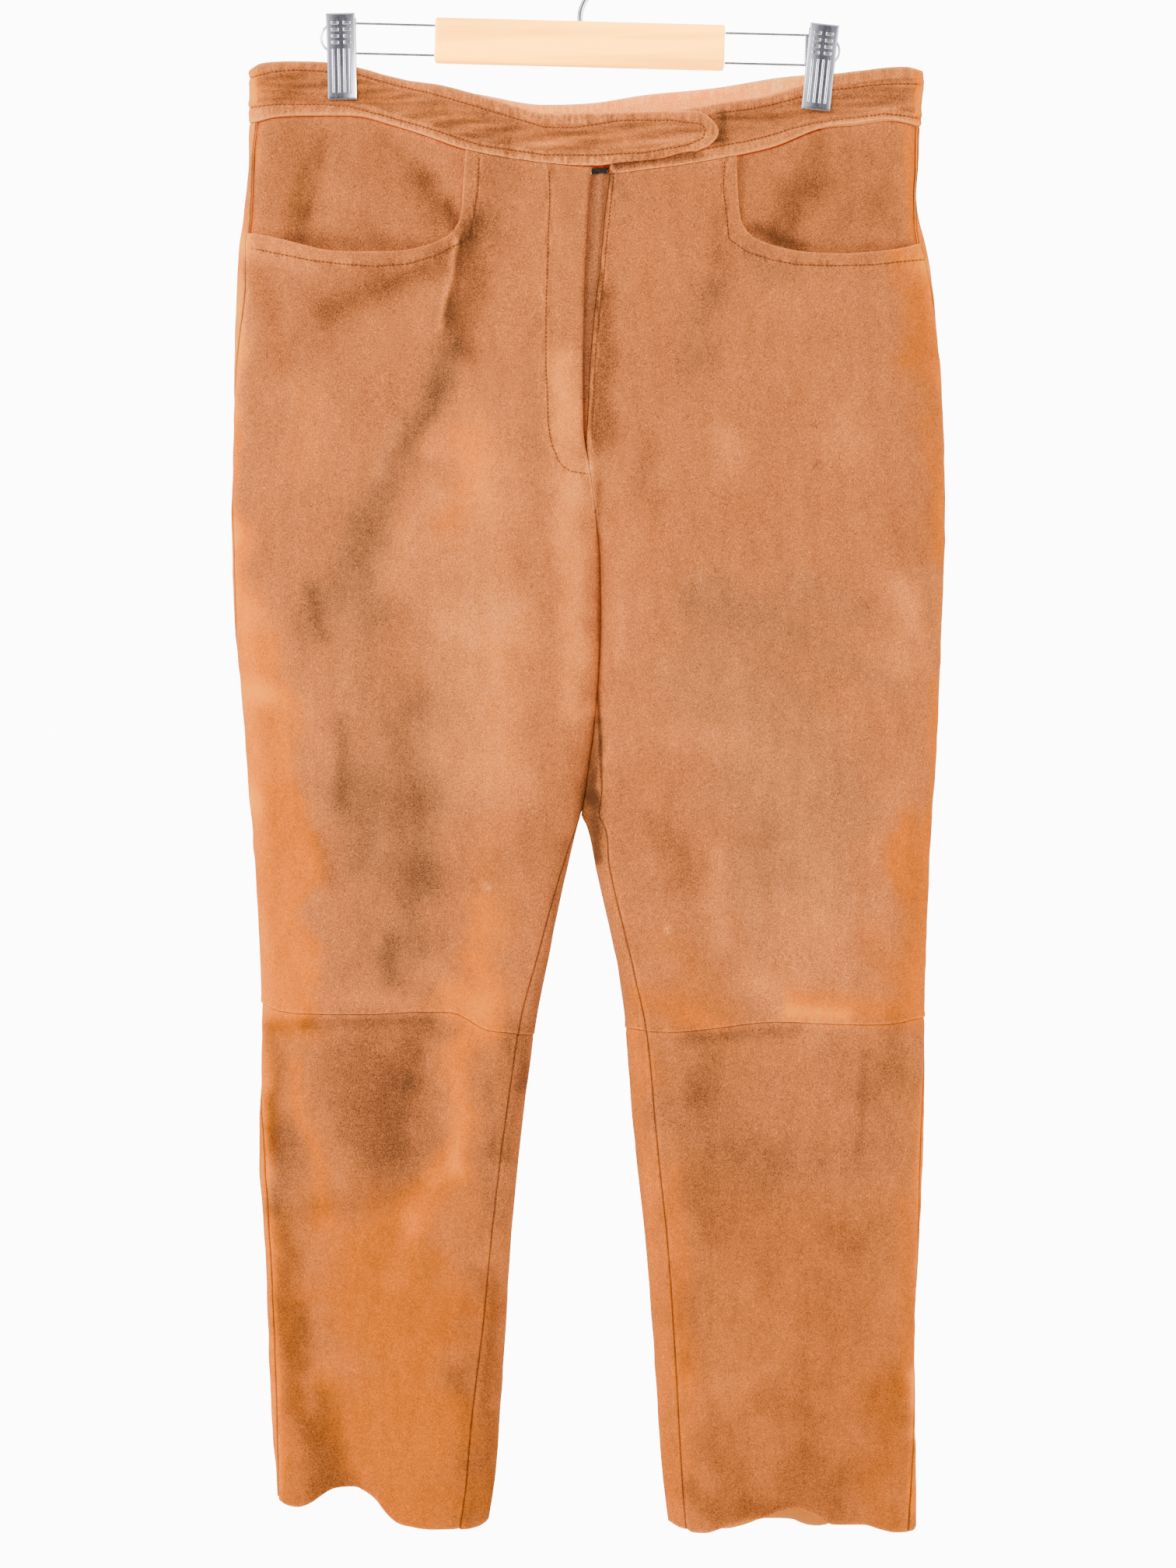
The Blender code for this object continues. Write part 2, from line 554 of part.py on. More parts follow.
def gap_t(half, t, z):
    """Half a seam gap as a step of t, at a seam."""
    around = min(max(t, -0.99), 0.0)
    step = half.place(around + 0.01, z) - half.place(around - 0.01, z)
    return 0.5 * SEAM_GAP / (float(np.linalg.norm(step)) / 0.02)


def down_rows(high, low, levels, lead, tail):
    """Heights of one column: lead steps to the first level, the levels, and tail steps to the lower edge."""
    first = high + (levels[0] - high) * spread(lead + 1)[:-1]
    last = levels[-1] + (low - levels[-1]) * spread(tail + 1)[1:]
    return np.concatenate([first, levels, last])


def front_bounds(half):
    def start(z):
        inseam = half.inseam_t(z)
        return inseam + gap_t(half, inseam, z)

    def end(z):
        side = half.side_t(z)
        return side - gap_t(half, side, z)

    return start, end


def back_bounds(half):
    def start(z):
        side = half.side_t(z)
        return side + gap_t(half, side, z)

    def end(z):
        inseam = half.inseam_t(z)
        return (inseam + 2.0 if inseam > -1.0 else 1.0) - gap_t(half, inseam, z)

    return start, end


def mouth_lift(half, x, z):
    """The panel's edge at the pocket mouth stands a little off the hip piece, most at the side."""
    mouth = MOUTH_RIGHT if half.side == "right" else MOUTH_LEFT
    below = along([place for place in mouth if abs(place.x) > MOUTH_LIFT.rows_from], x) - z
    near = (1 - ease(below, 0.0, MOUTH_LIFT.below)) * ease(below, -MOUTH_LIFT.above, 0.0)
    outward = ease(np.abs(x), MOUTH_LIFT.from_x, MOUTH_LIFT.to_x)
    return near * (MOUTH_LIFT.least + (MOUTH_LIFT.most - MOUTH_LIFT.least) * outward)


def front_upper(half, collection):
    """Front panel with the pocket scoop left out: its columns meet the scoop's upright edge, its rows the lower."""
    right = half.side == "right"
    band = BAND_FOOT_RIGHT if right else BAND_FOOT_LEFT
    mouth = MOUTH_RIGHT if right else MOUTH_LEFT
    knee = KNEE_RIGHT_FRONT if right else KNEE_LEFT_FRONT
    start, end = front_bounds(half)
    corner = MOUTH_CORNER
    upright = [(place.z, place.x) for place in mouth[:corner + 1]]
    corner_z = mouth[corner].z
    share_at = {}

    def corner_share(z):
        level = max(z, corner_z)
        if level not in share_at:
            t = half.t_at(float(along(upright, level)), level)
            share_at[level] = (t - start(level)) / (end(level) - start(level))
        return share_at[level]

    grid = FRONT_UPPER_GRID
    columns = [("inner", k / grid.inner) for k in range(grid.inner + 1)]
    columns += [("outer", k / grid.outer) for k in range(1, grid.outer + 1)]
    rows = grid.to_mouth + grid.lead + len(UPPER_LEVELS) + grid.tail
    t_grid, z_grid = np.zeros((rows, len(columns))), np.zeros((rows, len(columns)))

    def t_of(kind, part, z):
        a, b = start(z), end(z)
        middle = corner_share(z)
        share = middle * part if kind == "inner" else middle + (1 - middle) * part
        return a + share * (b - a)

    for k, (kind, part) in enumerate(columns):
        z_seam, z_mouth, z_knee = SEAM_GUESS, corner_z, KNEE_GUESS
        for _ in range(SETTLE_STEPS):
            z_seam = float(along(band, half.place(t_of(kind, part, z_seam), z_seam)[0])) - SEAM_GAP
            if kind == "outer":
                z_mouth = float(along(mouth[corner:], half.place(t_of(kind, part, z_mouth), z_mouth)[0]))
            z_knee = float(along(knee, half.place(t_of(kind, part, z_knee), z_knee)[0])) + 0.5 * SEAM_GAP
        to_mouth = z_seam + (z_mouth - z_seam) * spread(grid.to_mouth + 1)[:-1]
        z_grid[:, k] = np.concatenate([to_mouth, down_rows(z_mouth, z_knee, UPPER_LEVELS, grid.lead, grid.tail)])
        t_grid[:, k] = [t_of(kind, part, z) for z in z_grid[:, k]]
    raised = mouth_lift(half, half.place(t_grid, z_grid)[..., 0], z_grid)
    return cloth("front_upper_" + half.side, half, t_grid, z_grid, SUEDE, collection, raised=raised,
                 left_out=lambda r, c: r < grid.to_mouth and c >= grid.inner)


def plain_panel(name, half, bounds, head, foot, near, levels, grid, collection, head_drop=0.0, foot_raise=0.0):
    """A panel between two edges drawn from the front, with rows at the levels that its neighbours share."""
    start, end = bounds
    rows = grid.lead + len(levels) + grid.tail
    t_grid, z_grid = np.zeros((rows, grid.columns)), np.zeros((rows, grid.columns))
    for k, share in enumerate(spread(grid.columns)):
        ends = []
        for edge_rows, z in zip((head, foot), near):
            for _ in range(SETTLE_STEPS):
                t = start(z) + share * (end(z) - start(z))
                z = float(along(edge_rows, half.place(t, z)[0]))
            ends.append(z)
        z_grid[:, k] = down_rows(ends[0] - head_drop, ends[1] + foot_raise, levels, grid.lead, grid.tail)
        t_grid[:, k] = [start(z) + share * (end(z) - start(z)) for z in z_grid[:, k]]
    return cloth(name, half, t_grid, z_grid, SUEDE, collection)


def leg_pieces(half, collection):
    side = half.side
    right = side == "right"
    half_gap = 0.5 * SEAM_GAP
    front, back = front_bounds(half), back_bounds(half)
    knee_front = KNEE_RIGHT_FRONT if right else KNEE_LEFT_FRONT
    knee_back = KNEE_RIGHT_BACK if right else KNEE_LEFT_BACK
    hem_front = HEM_RIGHT_FRONT if right else HEM_LEFT_FRONT
    hem_back = HEM_RIGHT_BACK if right else HEM_LEFT_BACK
    front_upper(half, collection)
    plain_panel("front_lower_" + side, half, front, knee_front, hem_front, (KNEE_GUESS, HEM_GUESS), LOWER_LEVELS,
                FRONT_LOWER_GRID, collection, head_drop=half_gap)
    plain_panel("back_upper_" + side, half, back, BAND_FOOT_BACK, knee_back, (BAND_FOOT_GUESS, KNEE_GUESS),
                UPPER_LEVELS, BACK_UPPER_GRID, collection, head_drop=SEAM_GAP, foot_raise=half_gap)
    plain_panel("back_lower_" + side, half, back, knee_back, hem_back, (KNEE_GUESS, HEM_GUESS), LOWER_LEVELS,
                BACK_LOWER_GRID, collection, head_drop=half_gap)


def hip_piece(half, collection):
    """The hip piece behind the pocket mouth, sunk under the front panel."""
    right = half.side == "right"
    band = BAND_FOOT_RIGHT if right else BAND_FOOT_LEFT
    mouth = MOUTH_RIGHT if right else MOUTH_LEFT
    first = half.t_at(half.sign * (abs(mouth[0].x) - HIP_PIECE_TUCK), HIP_PIECE_LEVEL)
    last = half.side_t(HIP_PIECE_SIDE_LEVEL) + HIP_PIECE_PAST_SIDE
    t_grid, z_grid = np.zeros((HIP_ROWS, HIP_COLUMNS)), np.zeros((HIP_ROWS, HIP_COLUMNS))
    for k, share in enumerate(spread(HIP_COLUMNS)):
        t = first + share * (last - first)
        high = edge_z(band, half, t, SEAM_GUESS) - SEAM_GAP
        low = float(along(mouth[MOUTH_CORNER:], half.place(t, HIP_PIECE_FOOT_LEVEL)[0])) - HIP_PIECE_TUCK
        z_grid[:, k] = high + (low - high) * spread(HIP_ROWS)
        t_grid[:, k] = t
    return cloth("hip_piece_" + half.side, half, t_grid, z_grid, SUEDE, collection, raised=-HIP_PIECE_DROP)


def front_place(halves, x, z):
    """Place and outward direction of the front at x, over the fly too."""
    right, left = halves["right"], halves["left"]
    edge_right = right.place(-1.0, z)
    edge_left = left.place(-1.0, z)
    if x <= edge_right[0]:
        t = right.t_at(x, z)
        return right.place(t, z), right.normal(t, z)
    if x >= edge_left[0]:
        t = left.t_at(x, z)
        return left.place(t, z), left.normal(t, z)
    share = (x - edge_right[0]) / max(edge_left[0] - edge_right[0], 1e-6)
    return edge_right * (1 - share) + edge_left * share, np.array([0.0, -1.0, 0.0])


def band_front_right(halves, collection):
    """The right front band: round its side, over the fly, to a round tab on the left band."""
    right = halves["right"]
    rows = RIGHT_BAND_GRID.rows
    joint = BAND_JOINT - BAND_JOINT_GAP
    columns = [("t", joint + share * (TAB_FROM - BAND_JOINT)) for share in spread(RIGHT_BAND_GRID.columns)[:-1]]
    last_x = right.place(columns[-1][1], TAB_FROM_LEVEL)[0]
    columns += [("x", x) for x in np.linspace(last_x, TAB_STRAIGHT_TO, TAB_COLUMNS)[1:]]
    inside = np.zeros((rows, len(columns) + len(TAB_END), 3))
    outside = np.zeros_like(inside)

    def fill(k, places):
        for r, (place, normal, raised) in enumerate(places):
            inside[r, k] = place + normal * raised
            outside[r, k] = inside[r, k] + normal * BAND_THICK

    under = BAND_THICK + TAB_CLEAR
    for k, (kind, value) in enumerate(columns):
        places = []
        for v in spread(rows):
            if kind == "t":
                high = edge_z(BAND_TOP_RIGHT, right, value, BAND_TOP_GUESS)
                low = edge_z(BAND_FOOT_RIGHT, right, value, BAND_FOOT_GUESS)
                z = high + (low - high) * v
                places.append((right.place(value, z), right.normal(value, z), 0.0))
            else:
                high, low = float(along(BAND_TOP_RIGHT, value)), float(along(BAND_FOOT_RIGHT, value))
                z = high + (low - high) * v
                place, normal = front_place(halves, value, z)
                places.append((place, normal, under * float(ease(value, TAB_RISES_FROM, TAB_RISES_TO))))
        fill(k, places)
    for step, row in enumerate(TAB_END):
        places = [(*front_place(halves, row.x, z), under) for z in row.high + (row.low - row.high) * spread(rows)]
        fill(len(columns) + step, places)
    return sheet_solid("waistband_right", inside, outside, SUEDE, collection)


def band_grid(half, t_list, rows, high_rows, low_rows):
    """Grid of t and z between the two edges of a band."""
    t_grid, z_grid = np.zeros((rows, len(t_list))), np.zeros((rows, len(t_list)))
    for k, t in enumerate(t_list):
        high = edge_z(high_rows, half, t, BAND_TOP_GUESS)
        low = edge_z(low_rows, half, t, BAND_FOOT_GUESS)
        t_grid[:, k] = t
        z_grid[:, k] = high + (low - high) * spread(rows)
    return t_grid, z_grid


def waistbands(halves, collection):
    band_front_right(halves, collection)
    left = halves["left"]
    joint = BAND_JOINT - BAND_JOINT_GAP
    t_list = joint + spread(LEFT_BAND_GRID.columns) * (-1.0 - joint)
    t_grid, z_grid = band_grid(left, t_list, LEFT_BAND_GRID.rows, BAND_TOP_LEFT, BAND_FOOT_LEFT)
    cloth("waistband_left", left, t_grid, z_grid, SUEDE, collection, thick=BAND_THICK)
    inside, outside = [], []
    joint = BAND_JOINT + BAND_JOINT_GAP
    for half, order in ((halves["right"], 1), (left, -1)):
        t_list = joint + spread(BACK_BAND_GRID.columns) * (1.0 - joint)
        t_grid, z_grid = band_grid(half, t_list, BACK_BAND_GRID.rows, BAND_TOP_BACK, BAND_FOOT_BACK)
        place, normal = half.place(t_grid, z_grid), half.normal(t_grid, z_grid)
        inside.append(place[:, ::order])
        outside.append((place + normal * BAND_THICK)[:, ::order])
    inside = np.concatenate([inside[0][:, :-1], inside[1]], axis=1)
    outside = np.concatenate([outside[0][:, :-1], outside[1]], axis=1)
    sheet_solid("waistband_back", inside, outside, SUEDE, collection)


def strip(name, halves, sides, heights, drop, thick, finish, collection):
    """A strip behind the fly: sides gives its left and right edge at a height."""
    inside, outside = np.zeros((len(heights), FLY_COLUMNS, 3)), np.zeros((len(heights), FLY_COLUMNS, 3))
    for r, z in enumerate(heights):
        low_x, high_x = sides(z)
        for c, x in enumerate(np.linspace(low_x, high_x, FLY_COLUMNS)):
            place, _ = front_place(halves, x, z)
            inside[r, c] = place + np.array([0.0, drop, 0.0])
            outside[r, c] = inside[r, c] - np.array([0.0, thick, 0.0])
    sheet_solid(name, inside, outside, finish, collection)


def fly_pieces(halves, collection):
    def shield_sides(z):
        narrow = float(ease(z, SHIELD.narrows_from, SHIELD.narrows_to))
        half_wide = 0.5 * (SHIELD.wide + (SHIELD.foot_wide - SHIELD.wide) * narrow)
        middle = 0.5 * float(column(OUTLINE, "right_in", z) + column(OUTLINE, "left_in", z))
        return middle - half_wide, middle + half_wide

    def tape_sides(z):
        end = float(column(OUTLINE, "right_in", z)) - TAPE.behind_edge
        return end - TAPE.wide, end + TAPE.end_reach * float(ease(z, TAPE.crosses_from, TAPE.crosses_to))

    tape_drop = ZIP_THICK + 2 * SEAM_GAP
    strip("zip_tape", halves, tape_sides, TAPE_LEVELS, tape_drop, ZIP_THICK, ZIP, collection)
    strip("fly_shield", halves, shield_sides, SHIELD_LEVELS, tape_drop + SEAM_GAP + PANEL_THICK, PANEL_THICK,
          SUEDE_DEEP, collection)


def tilted(points, tilt, about):
    """Turns (x, z) about a point so that +X dips by tilt degrees."""
    turn = math.radians(-tilt)
    x, z = points[..., 0] - about[0], points[..., 1] - about[1]
    return np.stack([about[0] + x * math.cos(turn) - z * math.sin(turn),
                     about[1] + x * math.sin(turn) + z * math.cos(turn)], axis=-1)


def bevelled_box(name, centre, size, tilt, bevel, finish, collection):
    bpy.ops.mesh.primitive_cube_add(size=1.0, location=[c * MM for c in centre],
                                    rotation=(0.0, math.radians(tilt), 0.0))
    obj = bpy.context.active_object
    obj.name = obj.data.name = name
    obj.scale = [s * MM for s in size]
    bpy.ops.object.transform_apply(location=False, rotation=False, scale=True)
    rounding = obj.modifiers.new("edges", "BEVEL")
    rounding.width = bevel * MM
    rounding.segments = 3
    bpy.ops.object.modifier_apply(modifier=rounding.name)
    for owner in list(obj.users_collection):
        owner.objects.unlink(obj)
    collection.objects.link(obj)
    bpy.ops.object.shade_smooth_by_angle(angle=math.radians(40))
    add_finish(obj, finish)
    return obj


def wire_object(name, path, thick, finish, collection, sides=6):
    """A round wire along a path of (x, y, z), as a curve with closed ends turned into a mesh."""
    curve = bpy.data.curves.new(name, "CURVE")
    curve.dimensions = "3D"
    curve.bevel_depth = 0.5 * thick * MM
    curve.bevel_resolution = sides // 2 - 1
    curve.use_fill_caps = True
    curve.resolution_u = 1
    spline = curve.splines.new("POLY")
    spline.points.add(len(path) - 1)
    for point, place in zip(spline.points, path):
        point.co = (*(c * MM for c in place), 1.0)
    obj = bpy.data.objects.new(name, curve)
    collection.objects.link(obj)
    bpy.context.view_layer.objects.active = obj
    for other in bpy.context.selected_objects:
        other.select_set(False)
    obj.select_set(True)
    bpy.ops.object.convert(target="MESH")
    obj = bpy.context.active_object
    obj.data.shade_smooth()
    add_finish(obj, finish)
    return obj


def wire_loop(name, side, collection):
    """One end of the wire: out from the bar, round a half circle, and back."""
    sign = -1.0 if side == "right" else 1.0
    reach = WIRE.reach_right if side == "right" else WIRE.reach_left
    half_apart = 0.5 * WIRE.apart
    start = sign * (0.5 * BAR.long + SEAM_GAP)
    path = [(start, half_apart)]
    middle = reach - sign * half_apart
    for angle in np.linspace(90.0, -90.0, WIRE.bend_points):
        path.append((middle + sign * half_apart * math.cos(math.radians(angle)),
                     half_apart * math.sin(math.radians(angle))))
    path.append((start, -half_apart))
    flat = np.array([(x, z + BAR.centre_z) for x, z in path])
    turned = tilted(flat, BAR.tilt, (0.0, BAR.centre_z))
    wire_object(name, [(x, 0.0, z) for x, z in turned], WIRE.thick, STEEL, collection)


def profile_bar(name, profile, wide, place, lean, finish, collection):
    """A bar of one (y, z) profile, wide along X, leaning about Y at a place."""
    work = bmesh.new()
    ends = []
    for x in (-0.5 * wide, 0.5 * wide):
        ends.append([work.verts.new((x * MM, y * MM, z * MM)) for y, z in profile])
    work.faces.new(ends[0])
    work.faces.new(ends[1][::-1])
    for k in range(len(profile)):
        n = (k + 1) % len(profile)
        work.faces.new((ends[0][k], ends[1][k], ends[1][n], ends[0][n]))
    bmesh.ops.recalc_face_normals(work, faces=work.faces)
    mesh = bpy.data.meshes.new(name)
    work.to_mesh(mesh)
    work.free()
    obj = bpy.data.objects.new(name, mesh)
    collection.objects.link(obj)
    obj.location = [c * MM for c in place]
    obj.rotation_euler = (0.0, math.radians(lean), 0.0)
    add_finish(obj, finish)
    return obj


def clip_pieces(side, clip, collection):
    """Front and back jaw, flared apart at the top, and the core between the wires."""
    inner = PINCH_LEAST + BAND_THICK + JAW.clear
    face = [(inner + row.out, row.z) for row in JAW_FACE]
    back = [(y + JAW.thick, z) for y, z in reversed(face[1:])]
    lip = [(inner + row.out, row.z) for row in JAW_LIP]
    for name, sign in (("front", -1.0), ("back", 1.0)):
        profile = [(sign * y, z) for y, z in face + back + lip]
        profile_bar(f"clip_{side}_{name}", profile, JAW.wide, (clip.x, 0.0, clip.bottom), clip.lean, STEEL,
                    collection)
    middle = tilted(np.array([[clip.x, BAR.centre_z]]), BAR.tilt, (0.0, BAR.centre_z))[0]
    size = (CORE.wide, 2 * (inner - CORE.clear), WIRE.apart - WIRE.thick - 2 * SEAM_GAP)
    bevelled_box(f"clip_{side}_core", (clip.x, 0.0, middle[1]), size, BAR.tilt, CORE.bevel, STEEL, collection)


def arc(centre, radius, start, end, count):
    """Places on an arc in x and z, between two angles in degrees."""
    angles = np.radians(np.linspace(start, end, count))
    return [(centre[0] + radius * math.cos(a), centre[1] + radius * math.sin(a)) for a in angles]


def hook(collection):
    """The hook: a short shank, a bend that leads it out, and the large bend round to its free end."""
    radius = HOOK.inner_radius + 0.5 * HOOK.thick
    start = math.radians(HOOK.start_angle)
    shank_radius = radius * math.cos(start) / (1 - math.cos(start))
    shank_top = -HOOK.inner_radius + (radius + shank_radius) * math.sin(start)
    path = [(0.0, BAR.centre_z + 0.5 * BAR.high + HOOK.clear)]
    path += arc((shank_radius, shank_top), shank_radius, 180.0, 180.0 + HOOK.start_angle, HOOK.shank_points)
    path += arc((0.0, -HOOK.inner_radius), radius, HOOK.start_angle, HOOK.end_angle, HOOK.bend_points)[1:]
    wire_object("hanger_hook", [(x, 0.0, z) for x, z in path], HOOK.thick, STEEL, collection, sides=8)


def hanger(collection):
    size = (BAR.long, BAR.deep, BAR.high)
    bevelled_box("hanger_bar", (0.0, 0.0, BAR.centre_z), size, BAR.tilt, BAR.bevel, WOOD, collection)
    wire_loop("hanger_wire_right", "right", collection)
    wire_loop("hanger_wire_left", "left", collection)
    hook(collection)


def main():
    clear_scene()
    collection = make_collection()
    halves = {side: Half(side) for side in ("right", "left")}
    for half in halves.values():
        leg_pieces(half, collection)
        hip_piece(half, collection)
    waistbands(halves, collection)
    fly_pieces(halves, collection)
    hanger(collection)
    clip_pieces("right", CLIP_RIGHT, collection)
    clip_pieces("left", CLIP_LEFT, collection)


main()
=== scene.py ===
"""Dresses suede trousers that hang by the waistband from a clip hanger.

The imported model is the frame. Each half of the garment is a loft of rings, repeated here from the solids' own
sizes, and every cut piece is a thin closed wall on that loft with its creases, seams and nap. Sizes in the
tables are millimetres from the inside top of the hook; the wearer's right is -X and the front faces -Y.
"""

import logging
import math
from dataclasses import dataclass, field
from enum import Enum
from typing import Callable, NamedTuple, Sequence

import bpy
import numpy as np
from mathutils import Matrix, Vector
from mathutils.bvhtree import BVHTree


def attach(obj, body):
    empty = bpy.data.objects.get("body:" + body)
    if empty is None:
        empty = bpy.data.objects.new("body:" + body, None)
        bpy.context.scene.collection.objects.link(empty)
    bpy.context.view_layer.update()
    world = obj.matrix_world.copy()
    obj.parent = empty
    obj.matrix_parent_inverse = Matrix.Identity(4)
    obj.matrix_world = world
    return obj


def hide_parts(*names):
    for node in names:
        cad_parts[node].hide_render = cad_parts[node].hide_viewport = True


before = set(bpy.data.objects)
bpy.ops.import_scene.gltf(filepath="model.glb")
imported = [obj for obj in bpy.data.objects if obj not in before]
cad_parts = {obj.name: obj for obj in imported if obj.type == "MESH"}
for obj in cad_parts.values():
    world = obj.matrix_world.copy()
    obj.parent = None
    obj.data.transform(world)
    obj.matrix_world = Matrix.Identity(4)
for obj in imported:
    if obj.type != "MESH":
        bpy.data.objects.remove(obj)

LOG = logging.getLogger("trousers")
MM = 0.001
# Marks reach no further than this many millimetres.
FAR = 12.0
ROOT = "root"
# How often an edge is looked for again from where it was found.
TRIES = 5
# How many waves make up an unevenness.
WAVES = 9

Grid = np.ndarray
Triple = tuple[float, float, float]
Model = tuple[Grid, list[list[int]]]
Piece = bpy.types.Object
Material = bpy.types.Material
Socket = bpy.types.NodeSocket
Value = Socket | float | Sequence[float]


class Side(Enum):
    """The wearer's side."""

    RIGHT = "right"
    LEFT = "left"

    @property
    def sign(self) -> float:
        """Direction of the side along X."""
        return -1.0 if self is Side.RIGHT else 1.0


class Face(Enum):
    """The face of the garment that a fold or a row of stitches lies on."""

    FRONT = "front"
    BACK = "back"

    @property
    def sign(self) -> float:
        """Direction of the face along Y."""
        return -1.0 if self is Face.FRONT else 1.0


class Outline(NamedTuple):
    """One height of the garment's outline from the front."""

    z: float
    right_out: float
    right_in: float
    left_in: float
    left_out: float


class Body(NamedTuple):
    """Half depths of a ring, how square it is, and how far the halves are closed into legs."""

    z: float
    front: float
    back: float
    square: float
    closed: float


class Clip(NamedTuple):
    """A clip: its place, its lower end, its lean, and the height down to which it holds the cloth flat."""

    x: float
    bottom: float
    lean: float
    grip: float


class Fold(NamedTuple):
    """A soft ridge, or a trough with a minus height, along a line on one face."""

    face: Face
    x_top: float
    z_top: float
    x_low: float
    z_low: float
    wide: float
    high: float
    right: float = 0.0


class Tone(NamedTuple):
    """A soft streak between two places, of nap tone together with painted shade and painted highlight: light or
    dark, and orange, or grey where warm is minus.

    It reaches wide to both sides of its line, or right towards +X where that is given.
    """

    face: Face
    x_top: float
    z_top: float
    x_low: float
    z_low: float
    wide: float
    light: float
    warm: float = 0.0
    right: float = 0.0


class Place(NamedTuple):
    """A place of an edge as seen from the front."""

    x: float
    z: float


class TabRow(NamedTuple):
    """One upright of the waistband tab's round end."""

    x: float
    high: float
    low: float


def edge(*rows: tuple[float, float]) -> tuple[Place, ...]:
    """Returns an edge as named places."""
    return tuple(Place(*row) for row in rows)


def on(face: Face, kind: type, *rows: Sequence[float]) -> tuple:
    """Returns folds or tones of one face, from rows in the order of their fields."""
    return tuple(kind(face, *row) for row in rows)


OUTLINE = tuple(Outline(*row) for row in (
    (-85, -227.5, 9.4, 21.3, 236.5), (-96, -228.7, 9.4, 21.3, 238.0), (-132, -229.0, 9.4, 21.3, 236.0),
    (-162, -229.8, 9.0, 21.3, 234.6), (-176, -231.0, 6.9, 20.0, 233.6), (-198, -233.4, 5.2, 17.0, 235.0),
    (-216, -236.0, 4.4, 15.6, 239.6), (-230, -237.0, 3.6, 14.4, 242.7), (-273, -239.0, 2.6, 9.2, 247.4),
    (-306, -240.2, 2.0, 6.8, 250.8), (-340, -240.5, 2.3, 5.2, 252.6), (-356, -240.6, 3.4, 4.4, 253.2),
    (-372, -240.7, 6.8, 6.3, 253.5), (-402, -241.6, 11.1, 10.6, 253.5), (-440, -241.2, 14.2, 13.9, 252.5),
    (-478, -239.6, 14.4, 14.3, 251.2), (-513, -236.4, 13.3, 13.2, 250.0), (-540, -234.0, 11.2, 11.1, 248.8),
    (-565, -232.2, 8.2, 8.1, 248.0), (-597, -229.8, 3.4, 3.3, 246.0), (-612, -228.2, 0.6, 0.9, 245.0),
    (-619, -227.6, -1.4, 4.4, 244.4), (-651, -225.5, -8.9, 11.4, 242.8), (-716, -221.9, -22.4, 25.6, 240.6),
    (-748, -220.6, -28.9, 30.0, 239.5), (-813, -221.6, -38.0, 35.4, 238.9), (-846, -222.0, -41.9, 38.6, 238.4),
    (-910, -218.6, -47.8, 45.6, 235.2), (-975, -216.2, -51.6, 50.5, 232.6), (-1040, -213.0, -55.9, 54.8, 232.4),
    (-1072, -210.4, -58.6, 57.5, 233.4), (-1103, -209.0, -63.4, 61.3, 234.2),
    (-1124, -208.6, -66.0, 64.0, 234.4),
))

BODY = tuple(Body(*row) for row in (
    (-85, 17, 13, 2.2, 0.0), (-130, 20, 15, 2.2, 0.0), (-166, 22, 18, 2.2, 0.0), (-230, 23, 24, 2.3, 0.0),
    (-300, 24, 29, 2.3, 0.0), (-372, 25, 30, 2.3, 0.0), (-392, 25.5, 30, 2.3, 0.22), (-418, 26, 29, 2.3, 0.78),
    (-440, 26, 28, 2.3, 1.0), (-565, 25, 26, 2.3, 1.0), (-748, 22, 22, 2.3, 1.0), (-910, 18, 18, 2.3, 1.0),
    (-1040, 16, 17, 2.3, 1.0), (-1124, 15, 16, 2.3, 1.0),
))

# Shares of a fold's length between which it rises at its top, and sinks at its foot.
FOLD_ENDS = ((-0.12, 0.3), (0.7, 1.12))
CLIPS = {Side.RIGHT: Clip(-164.6, -115.2, -1.2, -117.0), Side.LEFT: Clip(163.6, -122.4, 6.0, -126.4)}

FOLDS = (
    *on(Face.FRONT, Fold,
        (-88, -226, -100, -352, 13, 2.6), (-112, -236, -124, -420, 20, -2.4), (-150, -380, -138, -640, 22, 3.2),
        (-112, -380, -118, -700, 17, -4.2), (-72, -470, -86, -700, 18, 2.8), (-190, -520, -184, -700, 16, -2.4),
        (-112, -768, -124, -930, 15, -4.0), (-152, -780, -156, -1000, 18, 2.6),
        (-74, -790, -84, -1010, 16, 2.4), (-156, -1010, -156, -1110, 15, -3.4),
        (-106, -960, -96, -1110, 20, 2.4), (-120, -612, -30, -640, 12, -2.4),
        (-200, -636, -130, -622, 11, -2.2), (44, -196, 34, -400, 24, 2.6), (112, -226, 122, -380, 14, 2.2),
        (150, -380, 158, -700, 22, 3.0), (92, -420, 100, -640, 20, -3.2), (52, -560, 84, -700, 15, 2.4),
        (196, -500, 200, -720, 15, -2.4), (82, -634, 210, -626, 11, -2.6), (130, -776, 140, -980, 17, -3.2),
        (92, -790, 100, -1000, 16, 2.4), (186, -800, 188, -1000, 16, 2.4), (148, -990, 148, -1110, 16, 3.6)),
    *on(Face.BACK, Fold,
        (-120, -190, -124, -360, 22, 3.0), (128, -190, 132, -360, 22, 3.0), (-60, -396, -160, -452, 13, -3.4),
        (84, -400, 186, -458, 13, -3.4), (-132, -480, -128, -700, 20, -3.6), (138, -480, 140, -690, 20, -3.4),
        (-190, -500, -182, -720, 16, 2.4), (196, -500, 190, -720, 16, 2.4), (-60, -636, -170, -652, 12, -2.8),
        (70, -646, 184, -634, 12, -2.8), (-124, -780, -132, -1000, 17, -3.0), (134, -780, 140, -1000, 17, -3.0)),
)

